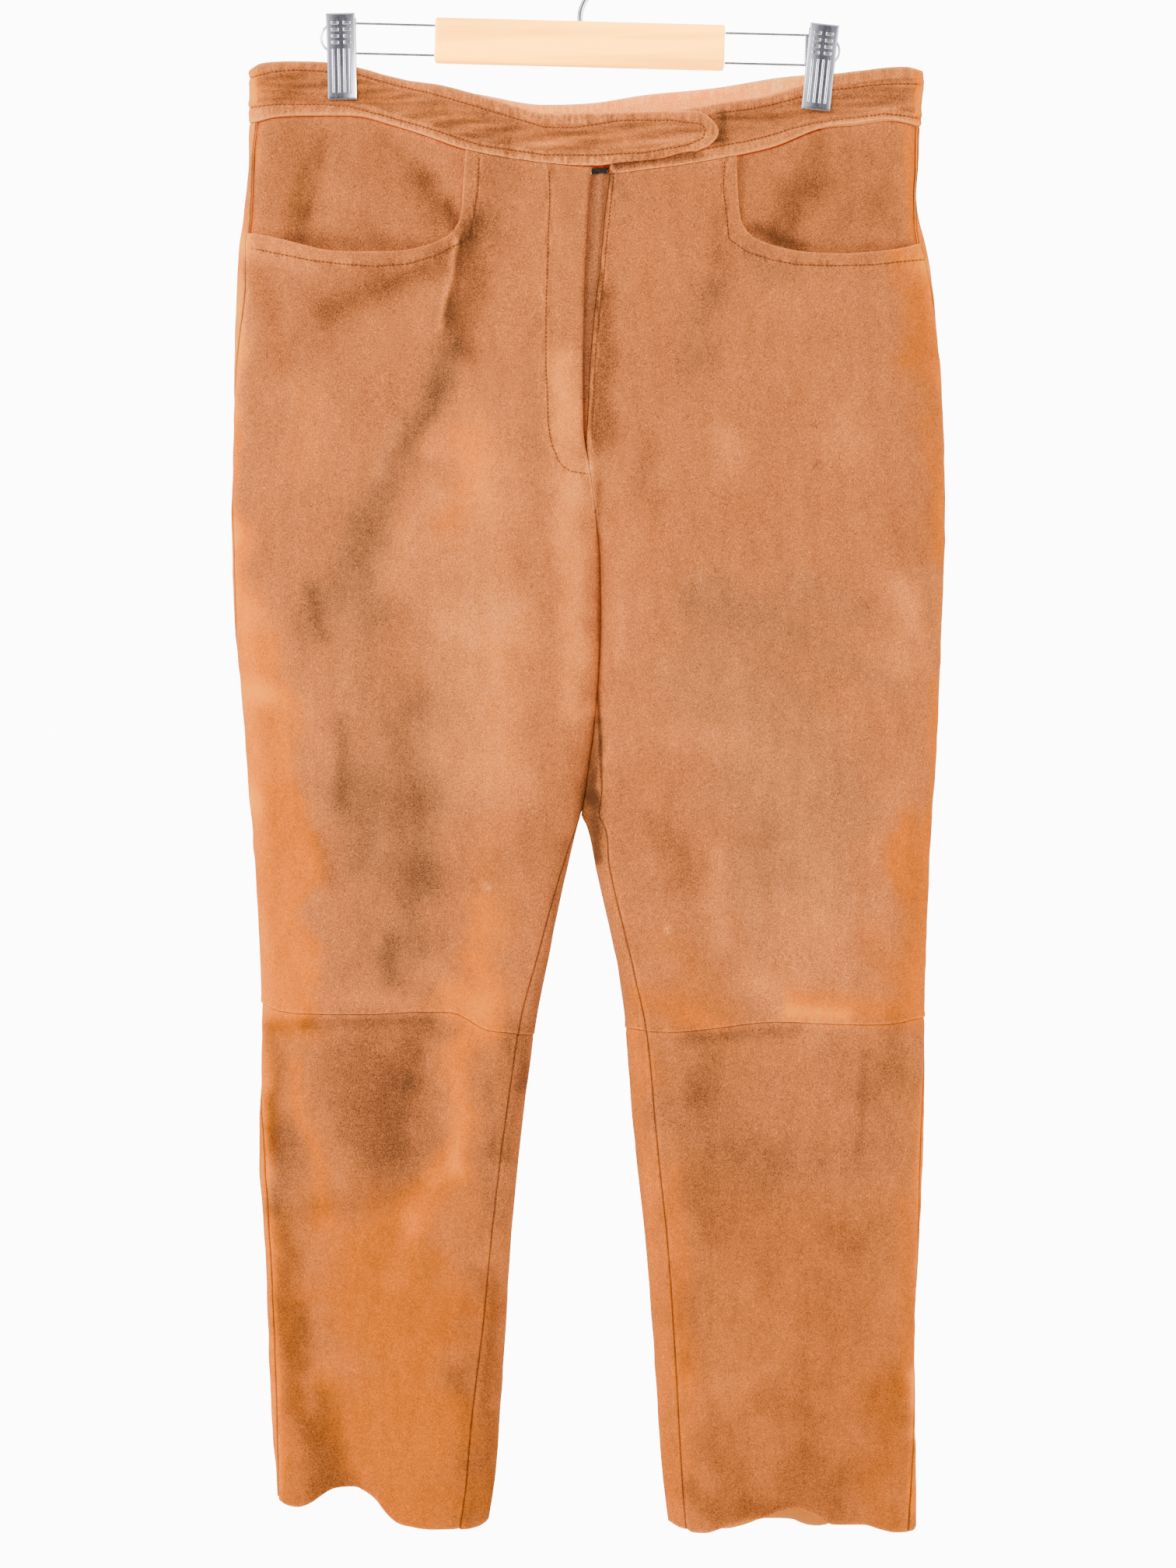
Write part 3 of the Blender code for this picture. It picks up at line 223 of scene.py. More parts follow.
# Finer creases, which lie over the large folds.
CREASES = (
    *on(Face.FRONT, Fold,
        (-170, -166, -182, -214, 7, -0.8), (-80, -212, -92, -266, 2.6, -1.7, 6.5),
        (-87, -222, -98, -282, 4.5, 0.9, 2.6), (-84, -258, -100, -338, 7, -1.3),
        (-100, -334, -130, -400, 9, -1.1), (-124, -396, -178, -492, 11, -1.0),
        (-104, -232, -168, -274, 8, -0.9), (-60, -330, -52, -460, 12, 0.8), (-176, -430, -168, -560, 12, -0.9),
        (-214, -236, -206, -330, 8, -0.8), (-150, -560, -140, -700, 9, -1.0), (-40, -600, -96, -632, 5, -0.9),
        (-30, -624, -110, -640, 5, 0.7), (-60, -690, -150, -700, 6, 0.8), (-186, -626, -120, -612, 5, -0.9),
        (-196, -648, -130, -640, 5, 0.8), (-186, -726, -130, -716, 6, -0.8), (-60, -780, -120, -800, 8, -0.9),
        (-176, -768, -140, -830, 9, -1.2), (-96, -772, -118, -840, 8, 1.1), (-190, -800, -176, -880, 7, 0.9),
        (-74, -800, -132, -944, 7, 0.8), (-188, -1010, -178, -1080, 8, -1.0),
        (-140, -1000, -132, -1090, 9, 0.9), (96, -640, 150, -630, 5, -1.0), (150, -630, 206, -646, 5, -1.0),
        (90, -656, 160, -650, 5, 0.8), (120, -610, 200, -598, 6, 0.8), (70, -690, 150, -704, 7, -0.9),
        (172, -700, 226, -690, 6, 0.8), (92, -170, 96, -330, 7, -0.9), (58, -230, 48, -340, 12, -0.8),
        (13, -318, 16, -366, 5, -1.2), (34, -400, 44, -560, 10, -0.8), (110, -800, 210, -776, 7, -0.9),
        (60, -790, 130, -800, 7, 0.8), (180, -786, 228, -800, 6, 0.7), (96, -990, 90, -1090, 8, -0.9),
        (190, -1010, 196, -1090, 9, -0.9)),
    *on(Face.BACK, Fold,
        (-90, -440, -190, -478, 7, 1.4), (-50, -414, -120, -426, 6, -1.3), (-110, -470, -200, -512, 8, -1.1),
        (96, -444, 200, -486, 7, 1.4), (62, -416, 130, -430, 6, -1.3), (120, -476, 214, -516, 8, -1.1),
        (-20, -200, -60, -330, 14, -0.9), (30, -200, 74, -330, 14, -0.9), (-180, -180, -196, -300, 12, -0.9),
        (192, -180, 206, -300, 12, -0.9), (-50, -660, -150, -676, 6, 1.2), (-44, -682, -130, -690, 6, -1.1),
        (70, -668, 180, -656, 6, 1.2), (60, -690, 170, -676, 6, -1.1), (-80, -704, -190, -716, 6, -1.0),
        (90, -708, 196, -698, 6, -1.0), (-150, -820, -120, -900, 10, 1.0), (150, -820, 126, -900, 10, 1.0),
        (-170, -980, -164, -1080, 10, -1.0), (176, -980, 170, -1080, 10, -1.0)),
)
HIP_CREASES = on(Face.FRONT, Fold,
    (-181, -132, -199, -216, 5, -1.7, 3.6), (-206, -170, -210, -212, 6, 0.9),
    (-150, -150, -146, -218, 18, 1.2), (-136, -142, -113, -161, 4, -1.0, 7),
    (-114, -160, -84, -206, 4, -2.0, 8), (168, -146, 138, -198, 8, -1.4), (114, -196, 150, -222, 8, -1.6),
    (188, -150, 186, -216, 14, 1.2), (214, -150, 224, -212, 8, -1.2))

# Streaks of nap tone, and of painted shade and painted highlight: shade in the folds, under the tab, at the fly and
# in the slit between the legs, highlight along the outer edges.
TONES = (
    *on(Face.FRONT, Tone,
        (-222, -112, -206, -104, 9, 0.15, 0.3), (-199, -104, -192, -101, 6, -0.5, 0.05),
        (-146, -112, -70, -136, 8, 0.0, 0.25), (-50, -142, 40, -146, 6, 0.05, 0.2),
        (98, -148, 98, -128, 4, -1.2, -0.45), (108, -132, 148, -120, 6, -0.35),
        (182, -112, 214, -112, 7, -0.35, 0.05), (-224, -222, -204, -300, 11, -0.35, 0.2),
        # Painted shade and painted highlight along the crease from the pocket's corner.
        (-81, -214, -93, -271, 1.8, -1.3, 0.0, 8.0), (-93, -268, -103, -318, 7, -0.4, -0.45, 10),
        (-103, -318, -134, -392, 10, -0.5, -0.6, 12), (-134, -392, -143, -414, 11, -0.05, -0.6),
        (-84.5, -216, -97, -278, 2.4, 1.3), (-124, -344, -138, -376, 6, 0.45, -0.55),
        (-96, -226, -135, -244, 11, -0.7), (-135, -244, -168, -262, 18, -0.55),
        (-168, -262, -178, -290, 16, -0.3), (-100, -236, -172, -264, 9, -0.5), (-226, -222, -186, -234, 7, 0.6),
        (-15, -200, -12, -400, 16, 0.2), (60, -556, 112, -562, 11, 0.35), (-180, -632, -176, -654, 10, -0.6),
        (-216, -758, -186, -756, 5, -0.6), (-93, -820, -86, -850, 10, 0.5), (-214, -850, -210, -892, 5, 0.6),
        (-104, -246, -112, -262, 6, 0.05), (-72, -350, -66, -470, 28, 0.75, 0.25),
        (-58, -500, -56, -590, 20, 1.05, 0.4), (-10, -300, -6, -540, 10, 0.9, 0.3),
        (-14, -298, -12, -344, 8, 0.45, 0.2), (-233, -215, -240, -330, 8, 1.1, 0.1),
        (9, -540, 15, -572, 6, 0.9), (2, -590, 4, -622, 5, -0.9), (-194, -325, -190, -372, 16, 0.4, 0.3),
        (-148, -406, -184, -482, 14, -0.5, -0.6), (-184, -452, -176, -490, 4, -0.5, -0.5),
        (-146, -412, -146, -478, 11, -0.45, -0.6), (-222, -404, -214, -462, 13, -0.05, 0.2),
        (-222, -466, -214, -506, 14, 0.7, 0.35), (-221, -527, -218, -530, 10, 1.35, 0.65),
        (-92, -470, -92, -596, 30, 0.25, -0.45), (-118, -540, -116, -604, 16, -0.65, -0.6),
        (-120, -604, -110, -650, 17, -0.7, -0.6), (-110, -650, -112, -722, 16, -0.6, -0.6),
        (-130, -700, -132, -724, 8, -0.85, -0.6), (-165, -546, -162, -604, 5, -0.7, -0.6),
        (-150, -590, -150, -640, 14, -0.5, -0.6), (-30, -300, -29, -470, 6, -0.1, -0.3),
        (-36, -349, -22, -362, 3.5, -0.25, -0.45), (5, -364, 7, -374, 2.2, 0.75, -0.1),
        (7, -374, 10.6, -400, 1.2, 1.05, -0.1), (-198, -612, -200, -744, 18, 0.6, 0.7),
        (-62, -624, -58, -700, 19, 0.25, 0.35), (-70, -672, -66, -690, 9, 0.6, 0.5),
        (-66, -716, -60, -756, 16, 0.8, 0.75), (-165, -737, -108, -743, 6, 0.45, 0.3),
        # Painted shade in the slit between the legs.
        (-65, -660, -63, -663, 1.6, 1.05, -0.5), (13, -385, 14, -548, 1.6, -1.05),
        (12, -548, 9, -600, 5, -2.05, -0.6), (11, -600, 12, -642, 4.5, -2.15, -0.5),
        # Painted shadow under the waistband's tab.
        (24, -165, 84, -157.5, 3.2, -1.9, -0.5), (24, -174, 32, -186, 6, -0.4, -0.6),
        (60, -168, 88, -186, 16, -0.25, 0.15), (96, -208, 96, -252, 12, -0.55, -0.2),
        (88, -252, 80, -300, 12, -0.45, -0.55), (45, -210, 52, -260, 13, 0.0, 0.2),
        (66, -348, 66, -382, 9, 0.1, -0.1), (9, -335, 11, -362, 3, -0.9), (236, -250, 247, -430, 9, 0.1, 0.6),
        (222, -300, 226, -345, 8, -0.05, 0.25), (150, -240, 190, -330, 36, 0.1, -0.15),
        (215, -404, 232, -436, 15, -0.2, 0.05), (84, -458, 146, -484, 16, -0.4, -0.6),
        (150, -452, 186, -474, 15, -0.1, -0.6), (222, -456, 226, -504, 16, 0.65, 0.05),
        (170, -500, 216, -522, 12, -0.1, -0.6), (80, -520, 180, -600, 34, 0.15, -0.6),
        (46, -400, 48, -600, 9, 0.05, 0.2), (58, -622, 64, -656, 13, -0.6, 0.1),
        (120, -604, 170, -660, 32, 0.15, -0.6), (146, -650, 170, -740, 26, 0.45),
        (112, -650, 124, -700, 15, 0.15, -0.55), (146, -747, 182, -750, 6, 1.35, 0.5),
        (60, -700, 96, -752, 16, 0.0, 0.4), (100, -735, 104, -752, 6, -0.05, 0.05),
        (60, -690, 61, -692, 2.0, 1.05, -0.5), (158, -342, 163, -345, 1.4, -0.9),
        (162, -372, 166, -370, 1.3, -0.9), (228, -620, 230, -748, 11, 0.1, 0.65),
        (-190, -756, -104, -753, 5, -0.7, -0.2), (-144, -772, -134, -846, 20, -0.85, -0.3, 24),
        (-132, -792, -126, -842, 12, -0.4, -0.3, 18), (-166, -774, -160, -830, 14, -0.5, -0.15),
        (-212, -764, -212, -850, 7, -0.8, 0.15), (-214, -806, -213, -842, 5, -0.45, 0.05),
        (-198, -784, -176, -892, 7, 0.35, 0.5), (-82, -770, -86, -856, 9, 0.75, 0.7),
        (-92, -852, -112, -890, 12, 0.55, 0.75), (-114, -888, -130, -934, 9, 0.4, 0.2),
        (-44, -764, -48, -846, 8, -0.8, -0.2), (-60, -850, -62, -894, 10, -0.35, -0.1),
        (-206, -888, -196, -1020, 9, -0.9, 0.2), (-160, -905, -158, -965, 20, 0.05, 0.2),
        (-110, -930, -96, -990, 22, -0.15, 0.2), (-130, -960, -110, -1095, 44, 0.0, 0.2),
        (-172, -1014, -168, -1076, 11, -1.0), (-64, -930, -62, -1096, 8, -0.9),
        (-80, -1000, -76, -1096, 8, -0.75), (-204, -1040, -200, -1090, 12, -0.05, 0.2),
        (76, -765, 148, -760, 5, -0.75, -0.3), (44, -772, 50, -800, 13, -0.15, 0.1),
        (84, -772, 86, -802, 14, -0.7, -0.1), (218, -764, 214, -790, 12, -0.7, -0.1),
        (135, -800, 142, -850, 20, -0.15, -0.3), (176, -772, 190, -836, 17, -0.15, -0.3),
        (196, -776, 192, -846, 3, -0.65, -0.3), (88, -850, 90, -900, 13, -0.55, -0.05),
        (64, -860, 72, -1000, 8, 0.1, 0.35), (72, -1000, 76, -1060, 9, 0.25, 0.2),
        (130, -880, 180, -1000, 46, -0.4, 0.05), (166, -1014, 196, -1038, 10, 0.05),
        (212, -1010, 214, -1100, 17, -0.3, 0.2), (98, -1034, 106, -1096, 14, -0.6),
        (140, -1060, 170, -1090, 20, -0.8), (226, -880, 226, -1010, 7, 0.1, 0.3),
        (-60, -155, -62, -205, 16, -0.45, -0.35), (-68, -205, -80, -288, 12, -1.1, -0.1),
        (-84, -290, -114, -360, 8, -0.6, -0.6), (-215, -217, -160, -231, 5, 0.45, 0.1),
        (-130, -238, -112, -228, 5, 0.75, -0.2), (-85, -362, -75, -388, 14, 0.6, 0.1),
        (-110, -398, -120, -450, 15, 0.65, 0.05), (-1, -380, 2, -500, 9, 0.7, 0.1),
        (27, -380, 28, -500, 8, 0.4, 0.1), (-200, -536, -206, -578, 17, 0.8, 0.35),
        (-25, -596, -30, -640, 14, -0.4, -0.2), (-9, -632, -40, -800, 6, -0.85, -0.25),
        (-106, -722, -74, -746, 14, 0.95, 0.35), (-185, -716, -182, -734, 14, 0.5, 0.2),
        (-108, -762, -116, -792, 12, -0.8, -0.25), (-120, -800, -118, -842, 8, -0.4, -0.25),
        (-204, -832, -207, -882, 9, -0.85, -0.25), (-186, -884, -118, -872, 10, -0.45),
        (-192, -950, -190, -992, 6, -0.6), (-186, -1036, -180, -1084, 10, -0.95),
        (-172, -994, -166, -1016, 14, 0.4), (-62, -922, -58, -942, 9, 0.25),
        (-54, -848, -60, -884, 11, -0.2, -0.25), (-62, -796, -60, -844, 5, -0.5, -0.25),
        (130, -626, 140, -654, 16, -0.65, -0.5), (94, -640, 98, -700, 9, 0.55),
        (118, -726, 140, -738, 14, 0.75, 0.05), (200, -690, 214, -596, 13, 0.3, 0.15),
        (78, -752, 92, -758, 6, 0.6, 0.2), (84, -812, 122, -852, 20, -0.5, -0.25),
        (200, -806, 206, -822, 12, -0.45, -0.25), (176, -856, 206, -850, 16, -0.4, -0.25),
        (176, -900, 190, -910, 12, -0.45), (80, -940, 76, -990, 10, -0.4), (130, -1012, 154, -1026, 14, -0.55),
        (160, -1052, 196, -1072, 12, -0.5), (72, -1078, 92, -1092, 9, -0.7), (116, -1090, 138, -1092, 9, -0.9),
        (231, -1000, 232, -1040, 5, 1.4, 0.05), (168, -1018, 202, -998, 9, 0.25),
        (98, -350, 104, -374, 10, 0.6), (182, -340, 190, -360, 12, 0.4), (80, -450, 90, -460, 9, 0.5, -0.25),
        (218, -456, 224, -480, 10, 0.45, 0.05), (212, -136, 215, -192, 7, -1.0, -0.5),
        (120, -226, 140, -242, 12, -0.5, -0.45), (17, -255, 16, -352, 9, -1.0),
        (44, -356, 48, -396, 9, -0.4, -0.25), (222, -222, 236, -236, 8, 0.6, 0.35),
        (-226, -112, -228, -148, 7, 0.8, 0.1), (-44, -150, -4, -151, 5, 0.85, 0.15),
        (30, -150, 84, -146, 5, 0.85, 0.05), (114, -146, 136, -136, 8, 0.55),
        (-216, -500, -206, -600, 15, 0.05, 0.6), (-206, -620, -198, -744, 20, 0.05, 0.7),
        (-104, -734, -76, -746, 17, 0.1, 0.5), (-74, -352, -92, -410, 14, 0.1, 0.35),
        (150, -740, 214, -748, 12, 0.0, 0.7), (46, -738, 74, -750, 12, 0.0, 0.6),
        (192, -690, 214, -722, 14, 0.0, 0.4), (222, -222, 226, -296, 11, 0.1, 0.5),
        (222, -590, 226, -660, 12, 0.1, 0.4), (-150, -440, -140, -700, 28, -0.05, -0.45),
        (100, -480, 170, -600, 46, -0.03, -0.45), (-132, -905, -126, -1095, 38, 0.05, 0.45),
        # Painted highlight along both outer edges, where the side lamps graze the cloth.
        (-231, -94, -237, -214, 7, 1.35, 0.9), (-239, -218, -241, -420, 6, 1.0, 1.05),
        (-240, -420, -230, -600, 11, 1.2, 1.05), (-229, -600, -221, -750, 9, 1.05, 1.2),
        (-222, -760, -209, -1094, 6, 0.9, 0.85), (236, -96, 239, -230, 6, 1.15, 1.15),
        (243, -230, 252, -310, 6, 0.9, 0.95), (252, -310, 250, -500, 4, 0.4, 0.5),
        (248, -520, 239, -750, 7, 0.35, 0.85), (238, -800, 234, -1094, 5, 0.9, 0.65),
        (26, -650, 38, -760, 8, 0.1, 0.2), (38, -766, 60, -1094, 9, 0.4, 0.3)),
    *on(Face.BACK, Tone,
        (-120, -230, -140, -330, 40, 0.35, -0.15), (130, -230, 150, -330, 40, 0.35, -0.15),
        (-10, -240, 0, -390, 16, -0.35, 0.1), (-64, -404, -158, -450, 17, -0.3),
        (92, -396, 176, -462, 20, -0.35), (-190, -200, -200, -330, 14, -0.3, 0.2),
        (204, -200, 214, -330, 14, -0.3, 0.2), (-134, -490, -126, -640, 22, -0.35, -0.3),
        (150, -480, 138, -610, 26, -0.3, -0.3), (-190, -540, -186, -700, 20, 0.3, 0.1),
        (196, -540, 194, -700, 20, 0.4, 0.1), (-60, -520, -66, -640, 22, 0.25, -0.2),
        (60, -520, 70, -640, 22, 0.25, -0.2), (-56, -668, -150, -682, 13, -0.3, 0.1),
        (84, -676, 180, -658, 15, -0.3, 0.1), (-176, -772, -100, -776, 12, -0.4, 0.1),
        (96, -778, 190, -774, 14, -0.35, 0.1), (-128, -790, -138, -890, 22, -0.5, -0.2),
        (144, -796, 138, -910, 25, -0.45, -0.2), (-180, -820, -176, -940, 12, 0.4, 0.5),
        (196, -820, 190, -940, 12, 0.4, 0.5), (-140, -980, -140, -1090, 50, 0.0, 1.1),
        (150, -980, 150, -1090, 50, -0.1, 1.1), (-232, -300, -214, -1090, 8, 0.0, 0.7),
        (246, -300, 226, -1090, 8, 0.0, 0.7)),
)
# How orange the nap turns towards the hems, by height.
FOOT_WARMTH = ((-740, 0.0), (-762, 0.2), (-880, 0.33), (-960, 0.38), (-1110, 0.45))
# Size, seed and share of the waves that make a streak's edges uneven.
STREAK_WAVES = ((60.0, 11, 0.3), (24.0, 12, 0.15))
# Streaks of the hip pieces: painted shade in the pocket mouths, under the front panels' edges and in their corners,
# with nap tone, and painted highlight along the outer edges.
HIP_TONES = on(Face.FRONT, Tone,
    (-228, -140, -233, -208, 6, 1.3, 0.8), (228, -140, 234, -210, 6, 0.7, 0.9),
    (-178, -146, -192, -194, 9, -0.8, 0.1, 8), (-192, -194, -196, -213, 6, -0.8),
    (-204, -150, -208, -204, 16, -0.3, 0.2), (-132, -147, -108, -172, 9, -0.45, 0.0, 7),
    (-112, -175, -98, -202, 10, -0.8), (-92, -190, -85, -206, 4.5, -1.3), (-148, -198, -144, -212, 4, -0.35),
    (-205, -214, -100, -222, 7, -0.9), (-150, -160, -140, -200, 22, -0.35), (167, -146, 159, -176, 9, -0.45),
    (156, -176, 138, -206, 14, -0.8, -0.05), (120, -208, 152, -221, 5.5, -1.5), (111, -158, 111, -200, 3, -0.8),
    (140, -180, 147, -212, 12, -0.6), (204, -186, 218, -203, 9, -0.5, 0.1),
    (212, -140, 214, -180, 9, -0.3, 0.1), (188, -160, 186, -205, 16, -0.35), (160, -221, 228, -219, 4, -0.4))
# Streaks of the fly shield: painted shade over the whole recessed shield, a lighter line, and more painted shade on
# one stretch.
SHIELD_TONES = on(Face.FRONT, Tone,
    (14, -166, 9, -368, 30, -0.5, -1.0), (14, -172, 8, -300, 1.4, 0.4), (12, -230, 10, -290, 3, -0.3))

BAND_TOP_RIGHT = edge(
    (-229, -95), (-222, -91.6), (-213, -90.2), (-188, -89.2), (-154, -93.4), (-120, -103.4), (-92, -109.6),
    (-68, -116.4), (-46, -123.4), (-25, -128.8), (0, -129.4), (28, -129), (63, -128), (77, -127.8))
TAB_END = (TabRow(83, -128.4, -154.4), TabRow(87.6, -130.8, -152.2), TabRow(91.4, -134.3, -149.4),
           TabRow(93.8, -137.8, -146.4), TabRow(95, -141, -143.4))
BAND_FOOT_RIGHT = edge(
    (-229, -132.2), (-210, -128.6), (-175, -127.2), (-153, -128), (-130, -134.5), (-108, -142.7), (-86, -151.2),
    (-68, -156), (-25, -163), (10, -165.3), (28, -163.4), (55, -160.6), (77, -155.8))
BAND_TOP_LEFT = edge(
    (21, -131), (50, -130), (64, -127.4), (86, -123.6), (99, -120.9), (122, -115.6), (151, -106.7),
    (176, -98.8), (204, -95), (226, -94), (238, -96))
BAND_FOOT_LEFT = edge(
    (21, -170.4), (46, -167.6), (81, -162.7), (108, -157), (134, -149.5), (169, -135.8), (187, -133.9),
    (214, -131), (238, -134.4))
BAND_FOOT = {Side.RIGHT: BAND_FOOT_RIGHT, Side.LEFT: BAND_FOOT_LEFT}
BAND_TOP_BACK = edge(
    (-229, -95), (-188, -91), (-153, -95), (-120, -101), (-69, -109.6), (-25, -116.4), (10, -115.1),
    (46, -109.6), (81, -106.4), (116, -102.6), (151, -98.8), (176, -97.4), (204, -94.6), (238, -96))
BAND_FOOT_BACK = edge(
    (-229, -132.2), (-188, -128.6), (-153, -131), (-120, -137), (-69, -146.6), (-25, -153.4), (10, -152.1),
    (46, -146.6), (81, -143.4), (116, -139.6), (151, -135.8), (176, -134.4), (204, -132.6), (238, -134.4))
MOUTH = {
    Side.RIGHT: (
        edge((-78.6, -150.6), (-79.8, -172), (-81, -190), (-81.8, -198), (-83.3, -204), (-86.2, -209.2)),
        edge(
            (-86.2, -209.2), (-90.5, -213.2), (-97, -216.6), (-108, -220.6), (-130, -223.8), (-153, -223.9),
            (-175, -222.5), (-191, -218.5), (-208, -214), (-224, -210.6), (-240, -209.4)),
    ),
    Side.LEFT: (
        edge((107.6, -154.2), (108.1, -174), (109.2, -190), (110, -198), (111.4, -204.6), (114.8, -210.6)),
        edge(
            (114.8, -210.6), (119, -214), (125, -217), (134, -220.1), (151, -223.8), (178, -225.2),
            (204, -223.3), (222, -220.6), (236, -216.6), (244, -215.6)),
    ),
}
KNEE = {
    (Side.RIGHT, Face.FRONT): edge(
        (-221, -742), (-207, -747), (-176, -749), (-145, -749), (-113, -747.4), (-90, -747.6), (-78, -752),
        (-66, -759.4), (-50, -762), (-29, -764)),
    (Side.LEFT, Face.FRONT): edge(
        (30, -759.4), (45, -761), (62, -761.5), (95, -758.4), (114, -755.8), (135, -754.2), (176, -755.8),
        (200, -756.4), (216, -755.8), (240, -752)),
    (Side.RIGHT, Face.BACK): edge((-221, -742), (-180, -751), (-120, -755), (-66, -761), (-29, -764)),
    (Side.LEFT, Face.BACK): edge((30, -759.4), (80, -764), (140, -762), (200, -756), (240, -752)),
}
HEM = {
    (Side.RIGHT, Face.FRONT): edge(
        (-209.6, -1079), (-208.5, -1084), (-205, -1088), (-195, -1090.5), (-185.5, -1087.3), (-177.4, -1081.4),
        (-170, -1077.2), (-156.3, -1076), (-148.8, -1078.7), (-140.7, -1084.6), (-134.2, -1093.2),
        (-126.6, -1100.1), (-115.8, -1103.4), (-99, -1105.5), (-88.3, -1105.4), (-72.6, -1102.8),
        (-65, -1099.6), (-61, -1096)),
    (Side.RIGHT, Face.BACK): edge(
        (-209.6, -1079), (-208, -1084.5), (-200, -1087), (-186, -1085), (-158, -1079), (-132, -1086),
        (-104, -1099), (-88, -1105), (-81, -1105.8), (-73, -1105), (-67.5, -1102.6), (-64.4, -1099),
        (-62.6, -1093), (-61, -1084)),
    (Side.LEFT, Face.FRONT): edge(
        (59.6, -1090), (60.8, -1097.5), (64.5, -1102), (72.1, -1104.4), (79.1, -1108), (86.1, -1108.2),
        (100.2, -1103.9), (114.8, -1099.6), (128.8, -1096.4), (138.5, -1091.6), (148.8, -1090),
        (156.9, -1092.6), (165.5, -1096.9), (174, -1101.6), (196.8, -1102.3), (206.6, -1105.5),
        (217.9, -1108.2), (228, -1108.4), (232, -1105.6), (234.2, -1099)),
    (Side.LEFT, Face.BACK): edge(
        (59.6, -1090), (60.8, -1097.5), (64.5, -1102), (80, -1107), (102, -1110.4), (115, -1107.8),
        (129, -1103.5), (147, -1103.9), (157, -1107.8), (166, -1108.8), (190, -1103), (210, -1105.4),
        (228, -1108), (232, -1105.6), (234.2, -1099)),
}
# Stitch rows run so that the cloth between two rows of one piece lies on their left.
STITCHES = {
    "waistband_right": (
        edge(
            (-228, -121.9), (-206.6, -120.1), (-179.4, -119.8), (-159.6, -121.5), (-132.6, -129.1),
            (-114.6, -135.2), (-96.4, -141.5), (-78.6, -147.8), (-67.1, -151.5), (-24.3, -158), (10.5, -158.5),
            (45.2, -156.9), (73.6, -151.6), (84.8, -146.8), (86.4, -140.4), (83.8, -137.1), (62.9, -134.5),
            (28.1, -134.5), (-2.4, -139.3), (-24.3, -138.7), (-67.1, -125.6), (-96.5, -116.4), (-114.6, -110.8),
            (-132.6, -104.9), (-154, -98.5), (-183, -96), (-197.4, -95.5), (-213.6, -97.6), (-228, -101.2)),
    ),
    "waistband_left": (
        edge((234.1, -105.9), (202.6, -106.5), (176.3, -109.1), (150.1, -115), (115.3, -124.7), (92.9, -129.5)),
        edge(
            (87.5, -153.6), (115.3, -147.1), (150.1, -135.9), (167.8, -132.2), (185.4, -129.5), (211.7, -126.8),
            (234.1, -129.5)),
    ),
    "front_upper_right": (
        edge(
            (-69.2, -160), (-70.3, -181.9), (-73.5, -203.8), (-75.1, -213.5), (-82.1, -218.3), (-96.5, -226.3),
            (-118.5, -232.7), (-139.9, -234.3), (-161.8, -232.7), (-183.7, -230.1), (-205.7, -225.2),
            (-224, -221)),
        edge(
            (4.6, -377.2), (0.9, -376.8), (-5.6, -375.8), (-11.4, -372.5), (-15.2, -367.7), (-16.8, -362.4),
            (-18.9, -358.6), (-20.5, -350.6), (-21.6, -343.1), (-22.1, -323.9), (-23.2, -305.2),
            (-23.2, -262.4), (-22.1, -234.1), (-21.6, -214.8), (-20.5, -190.8), (-21.1, -166.7)),
    ),
    "front_upper_left": (
        edge(
            (239, -227.8), (202.6, -232.7), (176.3, -233.8), (150.1, -233.3), (133, -230.1), (115.3, -224.7),
            (102.5, -215.6), (101.4, -202.2), (98.8, -179.8), (99.8, -160.5)),
        edge(
            (23.6, -172.6), (21.9, -186), (20.3, -201.5), (18.2, -220.7), (16.8, -239.4), (14.4, -258.7),
            (12.7, -276.8), (10.8, -297.7), (9.7, -319.1), (8.8, -340.5), (8.4, -355.4)),
    ),
}
BACK_SEAM = ((-440, 14.45), (-402, 11.25), (-372, 7.6), (-320, 6), (-85, 6))
SIDE_SEAM = {
    Side.RIGHT: ((-85, -224.5), (-132, -223.6), (-156, -226), (-200, -227.6), (-216, -229.6), (-250, -231),
                 (-300, -237.2), (-360, -239.6), (-500, -236.4), (-1124, -207.4)),
    Side.LEFT: ((-85, 234.6), (-200, 232), (-250, 242.6), (-360, 252.2), (-748, 238.4), (-975, 231.2),
                (-1061, 229.4), (-1124, 226.6)),
}
# How far the inseams lie in from the inner outline.
INSEAM = {
    Side.RIGHT: ((-440, 0), (-600, 0), (-651, 3.2), (-716, 7.6), (-748, 9.8), (-804, 10.6), (-950, 14.0),
                 (-1051, 18.6), (-1124, 17.4)),
    Side.LEFT: ((-440, 0), (-520, 0), (-540, 2), (-575, 7.4), (-604, 11.5), (-619, 11.5), (-651, 8.8),
                (-716, 9.7), (-762, 13.6),
                (-804, 14.6), (-950, 13.8), (-1061, 12.6), (-1124, 10.6)),
}


